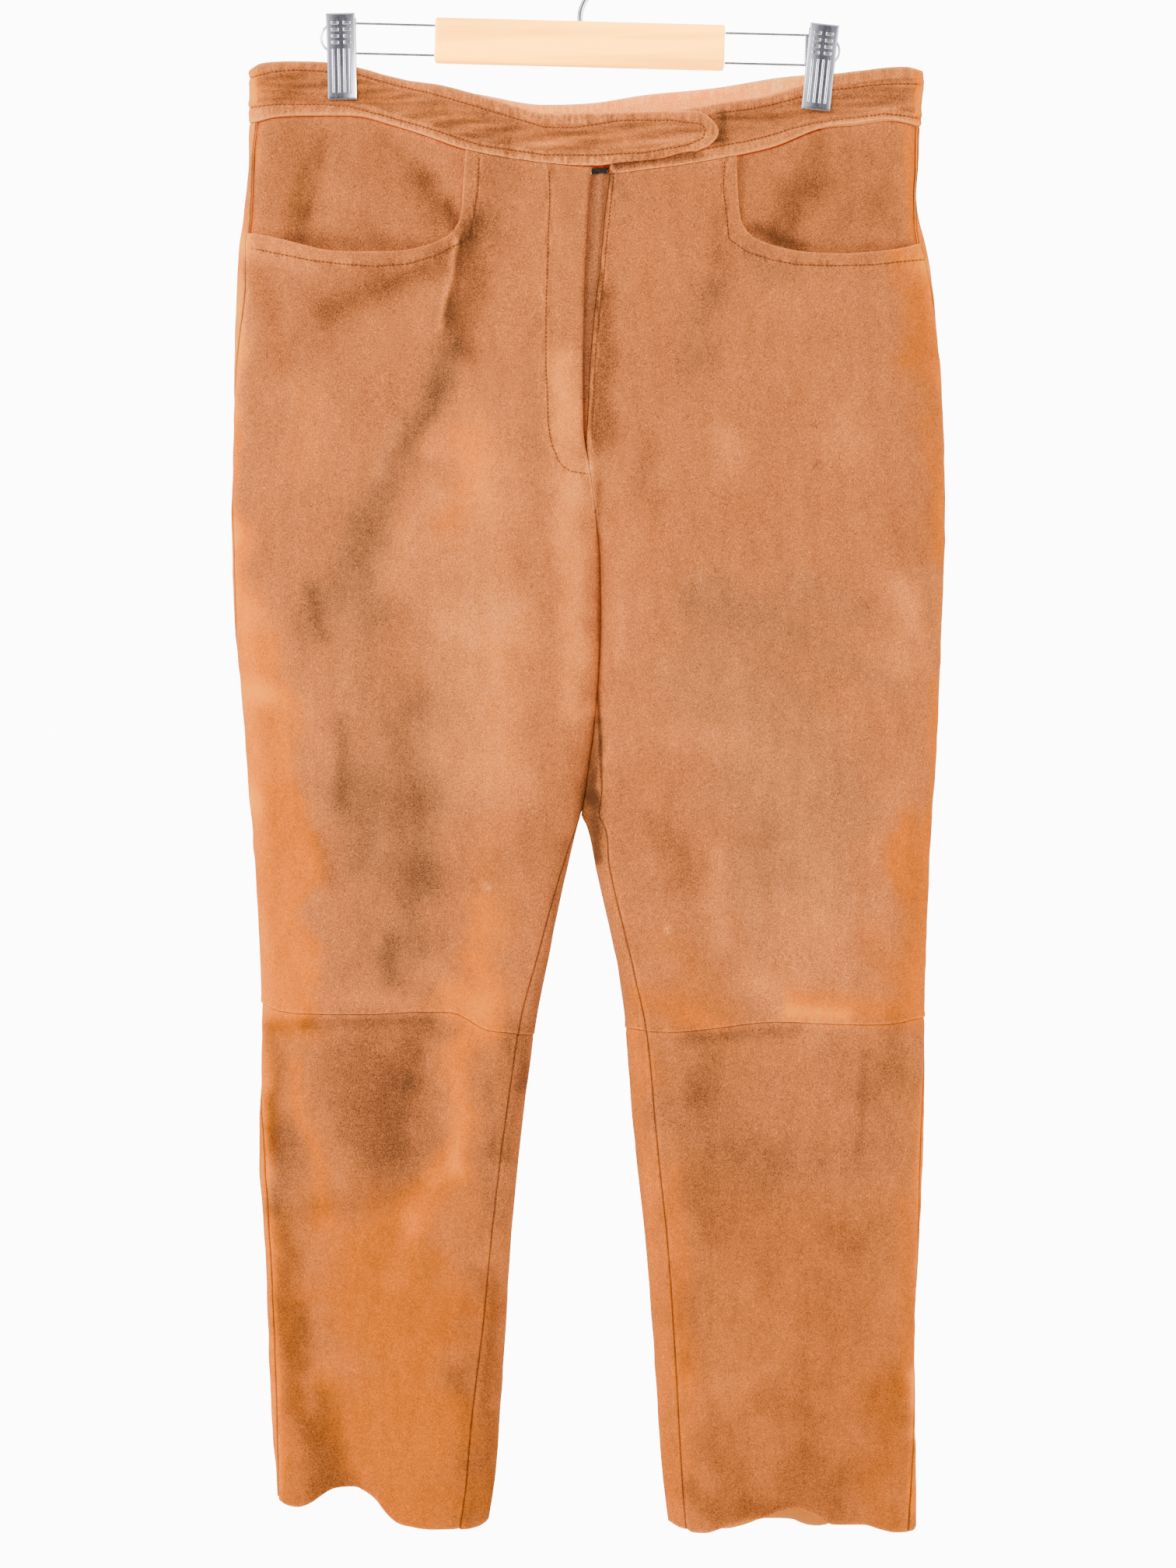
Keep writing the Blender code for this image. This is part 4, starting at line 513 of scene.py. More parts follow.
def along(rows: Sequence[tuple[float, float]], at: Grid | float) -> Grid:
    """Reads a smooth curve through rows of where and value.

    Args:
        rows: The curve's places, in any order.
        at: Where to read it; it is held level past its ends.

    Returns:
        The values, which never pass a row's own.
    """
    rows = sorted(rows)
    xs = np.array([row[0] for row in rows], float)
    ys = np.array([row[1] for row in rows], float)
    steps = np.diff(ys) / np.diff(xs)
    slopes = np.zeros_like(ys)
    mean = 0.5 * (steps[:-1] + steps[1:])
    least = np.minimum(np.abs(steps[:-1]), np.abs(steps[1:]))
    slopes[1:-1] = np.where(steps[:-1] * steps[1:] > 0, np.sign(mean) * np.minimum(np.abs(mean), 3 * least), 0.0)
    at = np.clip(np.asarray(at, float), xs[0], xs[-1])
    k = np.clip(np.searchsorted(xs, at) - 1, 0, len(xs) - 2)
    wide = xs[k + 1] - xs[k]
    u = (at - xs[k]) / wide
    return (ys[k] * (1 + 2 * u) * (1 - u) ** 2 + ys[k + 1] * u * u * (3 - 2 * u)
            + wide * (slopes[k] * u * (1 - u) ** 2 + slopes[k + 1] * u * u * (u - 1)))


def column(table: Sequence[NamedTuple], name: str, at: Grid | float) -> Grid:
    """Reads a named column of a table by height."""
    return along([(row.z, getattr(row, name)) for row in table], at)


def ease(value: Grid | float, start: float, end: float) -> Grid:
    """Rises softly from 0 at start to 1 at end."""
    u = np.clip((np.asarray(value, float) - start) / (end - start), 0.0, 1.0)
    return u * u * (3 - 2 * u)


def within(value: Grid, rise: Sequence[float], sink: Sequence[float]) -> Grid:
    """Rises softly from 0 to 1 between the two values of rise, and sinks again between those of sink."""
    return ease(value, *rise) * (1 - ease(value, *sink))


def bell(value: Grid | float, wide: float | Grid) -> Grid:
    """Stands at 1 on 0 and falls off softly to both sides."""
    return np.exp(-((value / wide) ** 2))


def fold_height(folds: Sequence[Fold], face: Face, x: Grid, z: Grid | float) -> Grid:
    """Adds up how far soft folds lift places of one face."""
    lift = np.zeros_like(np.asarray(x, float))
    for fold in folds:
        if fold.face is not face:
            continue
        run = np.array([fold.x_low - fold.x_top, fold.z_low - fold.z_top], float)
        long = float(np.hypot(*run))
        run /= long
        dx, dz = x - fold.x_top, z - fold.z_top
        across = dx * run[1] - dz * run[0]
        down = dx * run[0] + dz * run[1]
        rise, sink = (ease(down, start * long, end * long) for start, end in FOLD_ENDS)
        wide = np.where(across * run[1] > 0, fold.right or fold.wide, fold.wide)
        lift += fold.high * (rise * (1 - sink)) * bell(across, wide)
    return lift


def ripple(x: Grid, z: Grid, size: float, seed: int) -> Grid:
    """Smooth uneven waves between about -1 and 1, the same each run.

    Args:
        x: Places across, in millimetres.
        z: Places down, in millimetres.
        size: Length of a typical wave.
        seed: Picks the set of waves.

    Returns:
        The height of the waves at each place.
    """
    draw = np.random.default_rng(seed)
    total = np.zeros_like(np.asarray(x, float))
    for _ in range(WAVES):
        angle, phase = draw.uniform(0, 2 * math.pi, 2)
        length = size * draw.uniform(0.6, 1.7)
        k = 2 * math.pi / length
        total += np.sin(k * (math.cos(angle) * x + math.sin(angle) * z) + phase)
    return total / math.sqrt(WAVES)


@dataclass
class Half:
    """One half of the garment as rings of its cloth's inside face.

    A ring's t runs from -1 (centre front or inner leg) over 0 (the side) to 1 (centre back or inner leg).
    """

    side: Side
    panel: float = 1.6
    gap: float = -0.06
    samples: int = 151
    step: float = 2.0
    top: float = -82.0
    foot: float = -1124.0
    turn_weight: float = 26.0
    pinch_flat: float = 22.0
    pinch_reach: float = 72.0
    pinch_fade: float = 92.0
    pinch_least: float = 0.15
    under_pinch_least: float = 4.6
    under_pinch_drop: float = 9.0
    open_samples: int = 400
    leg_samples: int = 800
    probe: float = 0.01
    fork: float = -439.0
    seam_in: float = 0.05
    leg_closed: float = 0.999
    t: Grid = field(init=False)
    z: Grid = field(init=False)
    places: Grid = field(init=False)
    normals: Grid = field(init=False)

    def __post_init__(self) -> None:
        """Works out the rings, their outward directions and the seams."""
        self.t = np.linspace(-1.0, 1.0, 2 * self.samples - 1)
        self.z = np.arange(self.foot, self.top + self.step, self.step)
        self.places = np.stack([self.ring(float(z)) for z in self.z])
        self.normals = self.outward()
        self.inseam_rows = np.array([self.inseam_of(float(z)) for z in self.z])
        self.side_rows = np.array([self.side_of(float(z)) for z in self.z])

    def respaced(self, points: Grid) -> Grid:
        """Spaces a curve's points again, closer together where it turns."""
        step = np.diff(points, axis=0)
        length = np.hypot(step[:, 0], step[:, 1])
        angle = np.unwrap(np.arctan2(step[:, 1], step[:, 0]))
        turn = np.abs(np.diff(angle, append=angle[-1]))
        weight = np.concatenate([[0.0], np.cumsum(length + self.turn_weight * turn)])
        at = np.linspace(0.0, weight[-1], self.samples)
        return np.stack([np.interp(at, weight, points[:, 0]), np.interp(at, weight, points[:, 1])], axis=1)

    def pinch(self, x: Grid, z: float) -> tuple[Grid, Grid]:
        """Gives how far the clips press the faces together, and the least half depth that they leave."""
        held, least = np.zeros_like(x), np.full_like(x, self.pinch_least)
        for clip in CLIPS.values():
            near = 1 - ease(np.abs(x - clip.x), self.pinch_flat, self.pinch_reach)
            held = np.maximum(held, near * ease(z, clip.grip - self.pinch_fade, clip.grip))
            below = 1 - ease(z, clip.grip - self.under_pinch_drop, clip.grip)
            floor = self.pinch_least + (self.under_pinch_least - self.pinch_least) * below
            least = np.where(x * clip.x > 0, floor, least)
        return held, least

    def ring(self, z: float) -> Grid:
        """Makes the ring at one height, front from the centre to the side, then back."""
        sign = self.side.sign
        inner = float(column(OUTLINE, self.side.value + "_in", z))
        outer = float(column(OUTLINE, self.side.value + "_out", z)) - sign * self.panel
        closed = float(column(BODY, "closed", z))
        square = 2.0 / float(column(BODY, "square", z))
        inner += sign * self.panel * float(ease(closed, 0.0, 1.0))
        faces = []
        for face in Face:
            deep = float(column(BODY, face.value, z))
            centre = inner
            if face is Face.BACK:
                seam = float(along(BACK_SEAM, z)) + sign * 0.5 * self.gap
                seam += sign * self.panel * float(ease(closed, 0.0, 1.0))
                centre = seam + (inner - seam) * float(ease(closed, 0.6, 1.0))
            turn = np.linspace(0.5 * math.pi, 0.0, self.open_samples)
            open_curve = np.stack([centre + (outer - centre) * np.cos(turn) ** square,
                                   face.sign * deep * np.sin(turn) ** square], axis=1)
            turn = np.linspace(math.pi, 0.0, self.leg_samples)
            bend = np.sign(np.cos(turn)) * np.abs(np.cos(turn)) ** square
            leg_curve = np.stack([0.5 * (centre + outer) + 0.5 * (outer - centre) * bend,
                                  face.sign * deep * np.abs(np.sin(turn)) ** square], axis=1)
            curve = (1 - closed) * self.respaced(open_curve) + closed * self.respaced(leg_curve)
            x, y = curve[:, 0], curve[:, 1]
            flat = np.clip(np.abs(y) / deep, 0.0, 1.0) ** 2
            height = np.abs(y) + fold_height(FOLDS, face, x, z) * flat
            hold, least = self.pinch(x, z)
            height = np.where(np.abs(y) > 0, height * (1 - hold) + hold * np.minimum(least, height), 0.0)
            faces.append(np.stack([x, face.sign * height, np.full_like(x, z)], axis=1))
        front, back = faces
        return np.concatenate([front, back[-2::-1]])

    def outward(self) -> Grid:
        """Works out the outward direction at each place of the rings."""
        closed = column(BODY, "closed", self.z) > self.leg_closed
        across = np.gradient(self.places, axis=1)
        wrap = self.places[:, 1] - self.places[:, -2]
        across[closed, 0] = wrap[closed]
        across[closed, -1] = wrap[closed]
        down = np.gradient(self.places, axis=0)
        normal = np.cross(across, down) * self.side.sign
        return normal / np.linalg.norm(normal, axis=2, keepdims=True)

    def read(self, table: Grid, t: Grid | float, z: Grid | float) -> Grid:
        """Reads a table of the rings between its places; t past 1 comes round to the front again."""
        t = np.asarray(t, float)
        t = np.where(t > 1.0, t - 2.0, t)
        col = np.clip((t + 1.0) / 2.0 * (len(self.t) - 1), 0, len(self.t) - 1.000001)
        row = np.clip((np.asarray(z, float) - self.z[0]) / self.step, 0, len(self.z) - 1.000001)
        c, r = col.astype(int), row.astype(int)
        u, v = (col - c)[..., None], (row - r)[..., None]
        low = table[r, c] * (1 - u) + table[r, c + 1] * u
        high = table[r + 1, c] * (1 - u) + table[r + 1, c + 1] * u
        return low * (1 - v) + high * v

    def place(self, t: Grid | float, z: Grid | float) -> Grid:
        """Gives places of the cloth's inside face."""
        return self.read(self.places, t, z)

    def normal(self, t: Grid | float, z: Grid | float) -> Grid:
        """Gives outward directions of the cloth."""
        normal = self.read(self.normals, t, z)
        return normal / np.linalg.norm(normal, axis=-1, keepdims=True)

    def t_at(self, x: float, z: float) -> float:
        """Finds t of the place on the front that lies at x, at one height."""
        t = self.t[:self.samples]
        xs = self.place(t, np.full_like(t, z))[:, 0]
        order = np.argsort(xs)
        return float(np.interp(x, xs[order], t[order]))

    def inseam_of(self, z: float) -> float:
        """Finds t of the inseam, which lies a little way round to the front lower down."""
        shift = float(along(INSEAM[self.side], z))
        inner = float(self.place(-1.0, z)[0])
        return self.t_at(inner + self.side.sign * shift, z) if shift > self.seam_in else -1.0

    def side_of(self, z: float) -> float:
        """Finds t of the side seam."""
        outer = float(self.place(0.0, z)[0])
        x = min(float(along(SIDE_SEAM[self.side], z)) * self.side.sign, outer * self.side.sign - self.seam_in)
        return self.t_at(x * self.side.sign, z)

    def half_gap(self, t: Grid, z: Grid) -> Grid:
        """Gives half a seam gap as a step of t, at a seam."""
        around = np.clip(t, self.probe - 1.0, 0.0)
        step = self.place(around + self.probe, z) - self.place(around - self.probe, z)
        return 0.5 * self.gap / (np.linalg.norm(step, axis=-1) / (2 * self.probe))

    def span(self, face: Face, z: Grid) -> tuple[Grid, Grid]:
        """Gives t of a panel's two sides at heights, from seam to seam."""
        inseam = np.interp(z, self.z, self.inseam_rows)
        side = np.interp(z, self.z, self.side_rows)
        if face is Face.FRONT:
            return inseam + self.half_gap(inseam, z), side - self.half_gap(side, z)
        end = np.where(inseam > -0.9999, inseam + 2.0, 1.0) - self.half_gap(inseam, z)
        return side + self.half_gap(side, z), end

    def meet(self, rows: Sequence[Place], t_of: Callable[[Grid], Grid], guess: Grid, above: float = 0.0) -> Grid:
        """Finds the heights at which lines down the cloth meet an edge drawn from the front.

        Args:
            rows: The edge.
            t_of: Gives t of each line at its height.
            guess: A height for each line to start from.
            above: How far above the edge the lines end.

        Returns:
            The heights.
        """
        z = guess
        for _ in range(TRIES):
            z = along(rows, self.place(t_of(z), z)[:, 0]) + above
        return z

    def own_side(self, points: Grid) -> Grid:
        """Holds a wall on its own side of the centre line where the halves press together."""
        z = points[..., 2]
        limit = column(OUTLINE, self.side.value + "_in", z)
        back = along(BACK_SEAM, z) + self.side.sign * 0.5 * self.gap
        limit = np.where((points[..., 1] > 0) & (z > self.fork), back, limit)
        points[..., 0] = self.side.sign * np.maximum(points[..., 0] * self.side.sign, limit * self.side.sign)
        return points


def tone(tones: Sequence[Tone], points: Grid) -> tuple[Grid, Grid]:
    """Works out how light and how warm the nap is at places, painted shade and highlight included, with uneven edges
    to each streak.

    Args:
        tones: The streaks.
        points: Places as rows of x, y and z.

    Returns:
        The lightness and the warmth of each place.
    """
    x, y, z = points[:, 0], points[:, 1], points[:, 2]
    uneven = sum(share * ripple(x, z, size, seed) for size, seed, share in STREAK_WAVES)
    light, warm = np.zeros(len(x)), np.zeros(len(x))
    for row in tones:
        run = np.array([row.x_low - row.x_top, row.z_low - row.z_top], float)
        off = x - row.x_top + row.wide * uneven
        u = np.clip((off * run[0] + (z - row.z_top) * run[1]) / max(run.dot(run), 1e-9), 0, 1)
        dx, dz = off - u * run[0], z - row.z_top - u * run[1]
        wide = np.where(dx > 0, row.right or row.wide, row.wide)
        here = np.exp(-((dx * dx + dz * dz) / wide ** 2)) * ease(y * row.face.sign, -3.0, 3.0)
        light += row.light * here
        warm += row.warm * here
    return light, warm + along(FOOT_WARMTH, z)


def row_distance(rows: Sequence[Sequence[Place]], x: Grid, z: Grid) -> Grid:
    """Measures how far places lie from the nearest stitch row, plus on the left of it and minus on the right."""
    best = np.full(np.shape(x), FAR)
    for row in rows:
        path = np.array([(p.x, p.z) for p in row], float)
        near, side = np.full(np.shape(x), FAR), np.ones(np.shape(x))
        for a, b in zip(path[:-1], path[1:]):
            run = b - a
            u = np.clip(((x - a[0]) * run[0] + (z - a[1]) * run[1]) / run.dot(run), 0, 1)
            away = np.hypot(x - a[0] - u * run[0], z - a[1] - u * run[1])
            cross = run[0] * (z - a[1]) - run[1] * (x - a[0])
            side = np.where(away < near, np.sign(cross), side)
            near = np.minimum(away, near)
        signed = near * side
        best = np.where(np.abs(signed) < np.abs(best), signed, best)
    return np.clip(best, -FAR, FAR)


@dataclass
class Wall:
    """A piece of cloth as a closed wall between two grids of places.

    Marks are what the nap reads on the outer face. In millimetres, "edge" is the way to a sewn edge, "rim" the way
    to a turned or cut edge, and "row" the way to a stitch row. "rib" is how far sewing draws the cloth into ribs,
    and "shade" adds to the streaks' lightness.
    """

    name: str
    inside: Grid
    outside: Grid
    used: Grid | None = None
    marks: dict[str, Grid] = field(default_factory=dict)
    tones: Sequence[Tone] = TONES

    def build(self) -> Piece:
        """Makes the mesh, with its nap attributes.

        Returns:
            The new object, at the origin, with smooth faces that point outwards.
        """
        rows, cols = self.inside.shape[:2]
        count = rows * cols
        index = np.arange(count).reshape(rows, cols)
        cells = np.stack([index[:-1, :-1], index[:-1, 1:], index[1:, 1:], index[1:, :-1]], axis=-1)
        cells = cells[self.used] if self.used is not None else cells.reshape(-1, 4)
        ends = np.concatenate([np.stack([cells[:, k], cells[:, (k + 1) % 4]], axis=1) for k in range(4)])
        rim = ends[~np.isin(ends[:, 0] * count + ends[:, 1], ends[:, 1] * count + ends[:, 0])]
        walls = np.stack([rim[:, 1], rim[:, 0], rim[:, 0] + count, rim[:, 1] + count], axis=1)
        faces = np.concatenate([cells, cells[:, ::-1] + count, walls])
        points = np.concatenate([self.inside.reshape(-1, 3), self.outside.reshape(-1, 3)])
        used, faces = np.unique(faces, return_inverse=True)
        faces, points = faces.reshape(-1, 4), points[used]
        tri = points[faces[:, :3]]
        if np.einsum("ij,ij->i", tri[:, 0], np.cross(tri[:, 1], tri[:, 2])).sum() < 0:
            faces = faces[:, ::-1]
        obj = new_piece(self.name, points, faces.tolist())
        mesh = obj.data
        light, warm = tone(self.tones, points)
        values = {"flesh": (used < count).astype(float), "light": light, "warm": warm}
        for name, plain in (("edge", FAR), ("rim", FAR), ("row", FAR), ("rib", 0.0), ("shade", 0.0)):
            outer = np.broadcast_to(self.marks.get(name, plain), (rows, cols)).reshape(-1)
            inner = outer if name in ("rim", "rib") else np.full(count, plain)
            values[name] = np.concatenate([inner, outer])[used]
        values["light"] += values.pop("shade")
        for name, numbers in values.items():
            mesh.attributes.new(name, "FLOAT", "POINT").data.foreach_set("value", numbers.astype(np.float32))
        edges = np.zeros(len(mesh.edges) * 2, np.int32)
        mesh.edges.foreach_get("vertices", edges)
        edges = used[edges.reshape(-1, 2)]
        on_rim = np.zeros(2 * count, bool)
        on_rim[rim.reshape(-1)] = True
        on_rim[rim.reshape(-1) + count] = True
        same_sheet = (edges[:, 0] < count) == (edges[:, 1] < count)
        sharp = mesh.attributes.new("sharp_edge", "BOOLEAN", "EDGE")
        sharp.data.foreach_set("value", on_rim[edges].all(axis=1) & same_sheet)
        return obj


# Where grid lines lie close to an edge.
EDGE_LINES = (0.0, 0.7, 1.6, 3.0, 5.0)


def lines(length: float, spacing: float, start: Sequence[float] = (), end: Sequence[float] = ()) -> Grid:
    """Spaces grid lines over a length, with extra ones close to both ends.

    Args:
        length: The length, in millimetres.
        spacing: The usual distance between lines.
        start: Extra distances from the start, past the usual ones.
        end: Extra distances from the end.

    Returns:
        Shares of the length from 0 to 1.
    """
    first, last = (*EDGE_LINES, *start), (*EDGE_LINES, *end)
    middle = length - first[-1] - last[-1]
    inner = first[-1] + middle * np.linspace(0, 1, max(2, int(round(middle / spacing))) + 1)
    return np.concatenate([first[:-1], inner, length - np.array(last[-2::-1])]) / length


@dataclass
class Tailoring:
    """Shapes that every sewn piece shares: fine creases, puckers at seams and rolled edges."""

    thick: float = 1.6
    roll_depth: float = 0.6
    roll_reach: float = 1.8
    pillow: float = 0.35
    pillow_in: float = 5.0
    pillow_wide: float = 3.0
    lap_rise: float = 0.55
    lap_wide: float = 3.5
    lap_sink: float = 0.55
    tuck_wide: float = 3.0
    crease_fade: tuple[float, float] = (2.0, 9.0)
    wavy_below: tuple[float, float] = (-135.0, -118.0)
    waves: tuple[tuple[float, int, float, float], ...] = ((70.0, 3, 0.8, 0.0), (31.0, 5, 0.45, 0.7))
    ripple_high: float = 0.32
    pucker_pitch: float = 15.0
    pucker_high: float = 0.55
    groove: float = 0.3
    groove_wide: float = 1.3
    swell: float = 0.22
    swell_in: float = 3.0
    swell_wide: float = 1.6
    drawn_at_row: float = 0.8
    drawn_at_edge: float = 0.35

    def edge_distance(self, points: Grid) -> tuple[Grid, Grid, Grid, Grid]:
        """Measures the way along the grid from each place to its four edges: top, foot, start and end."""
        down = np.linalg.norm(np.diff(points, axis=0), axis=-1)
        across = np.linalg.norm(np.diff(points, axis=1), axis=-1)
        top = np.concatenate([np.zeros((1, points.shape[1])), np.cumsum(down, axis=0)])
        start = np.concatenate([np.zeros((points.shape[0], 1)), np.cumsum(across, axis=1)], axis=1)
        return top, top[-1:] - top, start, start[:, -1:] - start

    def shape(self, points: Grid, creases: Sequence[Fold] = CREASES) -> Grid:
        """Gives the lift of the fine creases and of the cloth's own unevenness at places of the loft."""
        x, y, z = points[..., 0], points[..., 1], points[..., 2]
        lift = np.zeros_like(x)
        for face in Face:
            lift += ease(y * face.sign, *self.crease_fade) * fold_height(creases, face, x, z)
        away = 1 - ease(z, *self.wavy_below)
        waves = sum(ripple(x + lean * y, z, pitch, seed) * high for pitch, seed, high, lean in self.waves)
        return lift + away * self.ripple_high * waves

    def relief(self, edge: Grid, points: Grid) -> Grid:
        """Gives the outer face's own form at a sewn edge: rolled in, padded by the turnings, and puckered."""
        near = np.clip(1 - edge / self.roll_reach, 0, 1)
        pucker = ripple(points[..., 0], points[..., 2], self.pucker_pitch, 8) * np.exp(-edge / 4.0)
        return (self.pillow * bell(edge - self.pillow_in, self.pillow_wide) - self.roll_depth * near ** 2
                + self.pucker_high * self.roll_depth * 0.5 * pucker * np.clip(edge / 1.5, 0, 1))

    def wall(self, name: str, half: Half, t: Grid, z: Grid, raised: Grid | float = 0.0,
             used: Grid | None = None, edge: Grid | float = FAR, rim: Grid | float = FAR,
             lapped: Grid | float = FAR, tucked: Grid | float = FAR, creases: Sequence[Fold] = CREASES,
             pressed: Grid | float = 0.0, shade: Grid | float = 0.0) -> Wall:
        """Makes a piece of one half on a grid of t and z.

        Args:
            name: The piece's name, which picks its stitch rows.
            half: The half that it is cut from.
            t: Places round the ring.
            z: Heights.
            raised: How far the inside face lies out from the loft.
            used: Cells that are cloth, if not all.
            edge: The way to a sewn edge.
            rim: The way to a turned or cut edge.
            lapped: The way to an edge that laps over the next piece.
            tucked: The way to an edge that is tucked under the piece above.
            creases: The fine creases.
            pressed: Share by which edges stay flat against the other leg.
            shade: What adds to the nap's lightness.

        Returns:
            The wall, not yet built.
        """
        place, normal = half.place(t, z), half.normal(t, z)
        raised = np.broadcast_to(raised, np.shape(t)) + self.shape(place, creases)
        edge = np.broadcast_to(edge, np.shape(t))
        lapped, tucked = np.broadcast_to(lapped, np.shape(t)), np.broadcast_to(tucked, np.shape(t))
        relief = self.relief(edge, place) * (1 - pressed) + 0.5 * pressed
        relief = relief + self.lap_rise * bell(lapped, self.lap_wide) * ease(lapped, -0.3, 0.8)
        relief = relief - self.lap_sink * bell(tucked, self.tuck_wide)
        row = row_distance(STITCHES.get(name, ()), place[..., 0], place[..., 2])
        row = np.where(place[..., 1] < 0, row, FAR)
        relief = (relief - self.groove * bell(row, self.groove_wide)
                  + self.swell * bell(np.abs(row) - self.swell_in, self.swell_wide))
        inside = place + normal * raised[..., None]
        outside = inside + normal * (self.thick + relief)[..., None]
        drawn = self.drawn_at_row * bell(row, 3.2) + self.drawn_at_edge * bell(np.minimum(edge, lapped), 4.0)
        marks = {"edge": np.minimum(np.minimum(edge, tucked), FAR), "row": row, "rib": drawn, "shade": shade,
                 "rim": np.minimum(np.broadcast_to(rim, np.shape(t)), lapped)}
        return Wall(name, half.own_side(inside), half.own_side(outside), used, marks)


def sew(wall: Wall, material: Material, slot: str = "suede") -> Piece:
    node = wall.name
    wall.name = node + "_cloth"
    obj = wall.build()
    obj.data.materials.append(material)
    adopt(obj, slot, node)
    return obj


def adopt(obj: Piece, slot: str, *nodes: str) -> None:
    """Makes a piece ride on the one body and stand for CAD nodes, which it hides."""
    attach(obj, ROOT)
    if nodes:
        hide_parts(*nodes)
    triangles = sum(len(face.vertices) - 2 for face in obj.data.polygons)
    LOG.info("%s: %d triangles", obj.name, triangles)


class Nodes:
    """Short calls for building the nodes of a material or of the world."""

    def __init__(self, tree: bpy.types.NodeTree) -> None:
        """Takes a tree and adds its texture coordinates."""
        self.tree = tree
        self.coords = tree.nodes.new("ShaderNodeTexCoord").outputs

    def give(self, target: Socket, value: Value) -> None:
        """Links a socket to an input, or sets the input's own number or colour."""
        if isinstance(value, Socket):
            self.tree.links.new(value, target)
        else:
            target.default_value = (*value, 1.0) if target.type == "RGBA" else value

    def add(self, kind: str, inputs: dict[str | int, Value], **options: str) -> bpy.types.bpy_prop_collection:
        """Adds a node.

        Args:
            kind: Its type, without ShaderNode in front.
            inputs: What it takes, by the input's name or number.
            options: Its own settings.

        Returns:
            Its outputs.
        """
        node = self.tree.nodes.new("ShaderNode" + kind)
        for name, option in options.items():
            setattr(node, name, option)
        for name, value in inputs.items():
            self.give(node.inputs[name], value)
        return node.outputs

    def noise(self, scale: float, detail: float = 3.0, rough: float = 0.55, stretch: Triple = (1, 1, 1)) -> Socket:
        """Adds noise on Object coordinates and returns its factor."""
        stretched = self.add("Mapping", {"Vector": self.coords["Object"], "Scale": stretch})["Vector"]
        form = {"Vector": stretched, "Scale": scale, "Detail": detail, "Roughness": rough}
        return self.add("TexNoise", form)["Fac"]

    def attribute(self, name: str) -> Socket:
        """Reads a number that the mesh carries."""
        return self.add("Attribute", {}, attribute_name=name)["Fac"]

    def math(self, operation: str, *values: Value) -> Socket:
        """Adds a Math node and returns its value."""
        return self.add("Math", dict(enumerate(values)), operation=operation)["Value"]

    def spread(self, value: Socket, low: float, high: float, to_low: float = 0.0, to_high: float = 1.0,
               curve: str = "SMOOTHSTEP") -> Socket:
        """Maps a range of values to another, clamped."""
        ends = {"From Min": low, "From Max": high, "To Min": to_low, "To Max": to_high}
        return self.add("MapRange", {"Value": value, **ends}, interpolation_type=curve)["Result"]

    def ramp(self, factor: Socket, stops: Sequence[tuple[float, Triple]]) -> Socket:
        """Runs a factor through a ramp of colours."""
        node = self.tree.nodes.new("ShaderNodeValToRGB")
        elements = node.color_ramp.elements
        for element, (at, colour) in zip(elements, (stops[0], stops[-1])):
            element.position, element.color = at, (*colour, 1.0)
        for at, colour in stops[1:-1]:
            elements.new(at).color = (*colour, 1.0)
        self.give(node.inputs["Fac"], factor)
        return node.outputs["Color"]

    def mix(self, factor: Value, a: Value, b: Value, blend: str = "MIX") -> Socket:
        """Mixes two colours and returns the result."""
        return self.add("Mix", {0: factor, 6: a, 7: b}, data_type="RGBA", blend_type=blend)[2]

    def choose(self, factor: Socket, a: Value, b: Value) -> Socket:
        """Mixes two numbers and returns the result."""
        return self.add("Mix", {0: factor, 2: a, 3: b})[0]


class Surface(Nodes):
    """The nodes of one new material, with a Principled shader."""

    def __init__(self, name: str) -> None:
        """Starts the material."""
        self.material = bpy.data.materials.new(name)
        self.material.use_nodes = True
        super().__init__(self.material.node_tree)
        self.shader = self.tree.nodes["Principled BSDF"].inputs

    def dress(self, inputs: dict[str, Value]) -> Material:
        """Sets or links the shader's inputs by name, and returns the material."""
        for name, value in inputs.items():
            self.give(self.shader[name], value)
        return self.material

    def bump(self, height: Socket, distance: float, strength: float) -> None:
        """Adds bump to the shader, after any that it already has."""
        inputs = {"Height": height, "Distance": distance, "Strength": strength}
        for taken in self.shader["Normal"].links:
            inputs["Normal"] = taken.from_socket
        self.dress({"Normal": self.add("Bump", inputs)["Normal"]})


class Noise(NamedTuple):
    """One noise of the nap: its form, how much it lightens the nap, and the distance and strength of its bump."""

    scale: float
    detail: float
    rough: float
    stretch: Triple
    weight: float
    high: float = 0.0
    strength: float = 0.0


class WearAndHighlight(NamedTuple):
    """How much lighter the nap is near an edge, from rubbing, and at rims from painted highlight too: from which way
    in, to which way in, by how much.
    """

    start: float
    end: float
    light: float


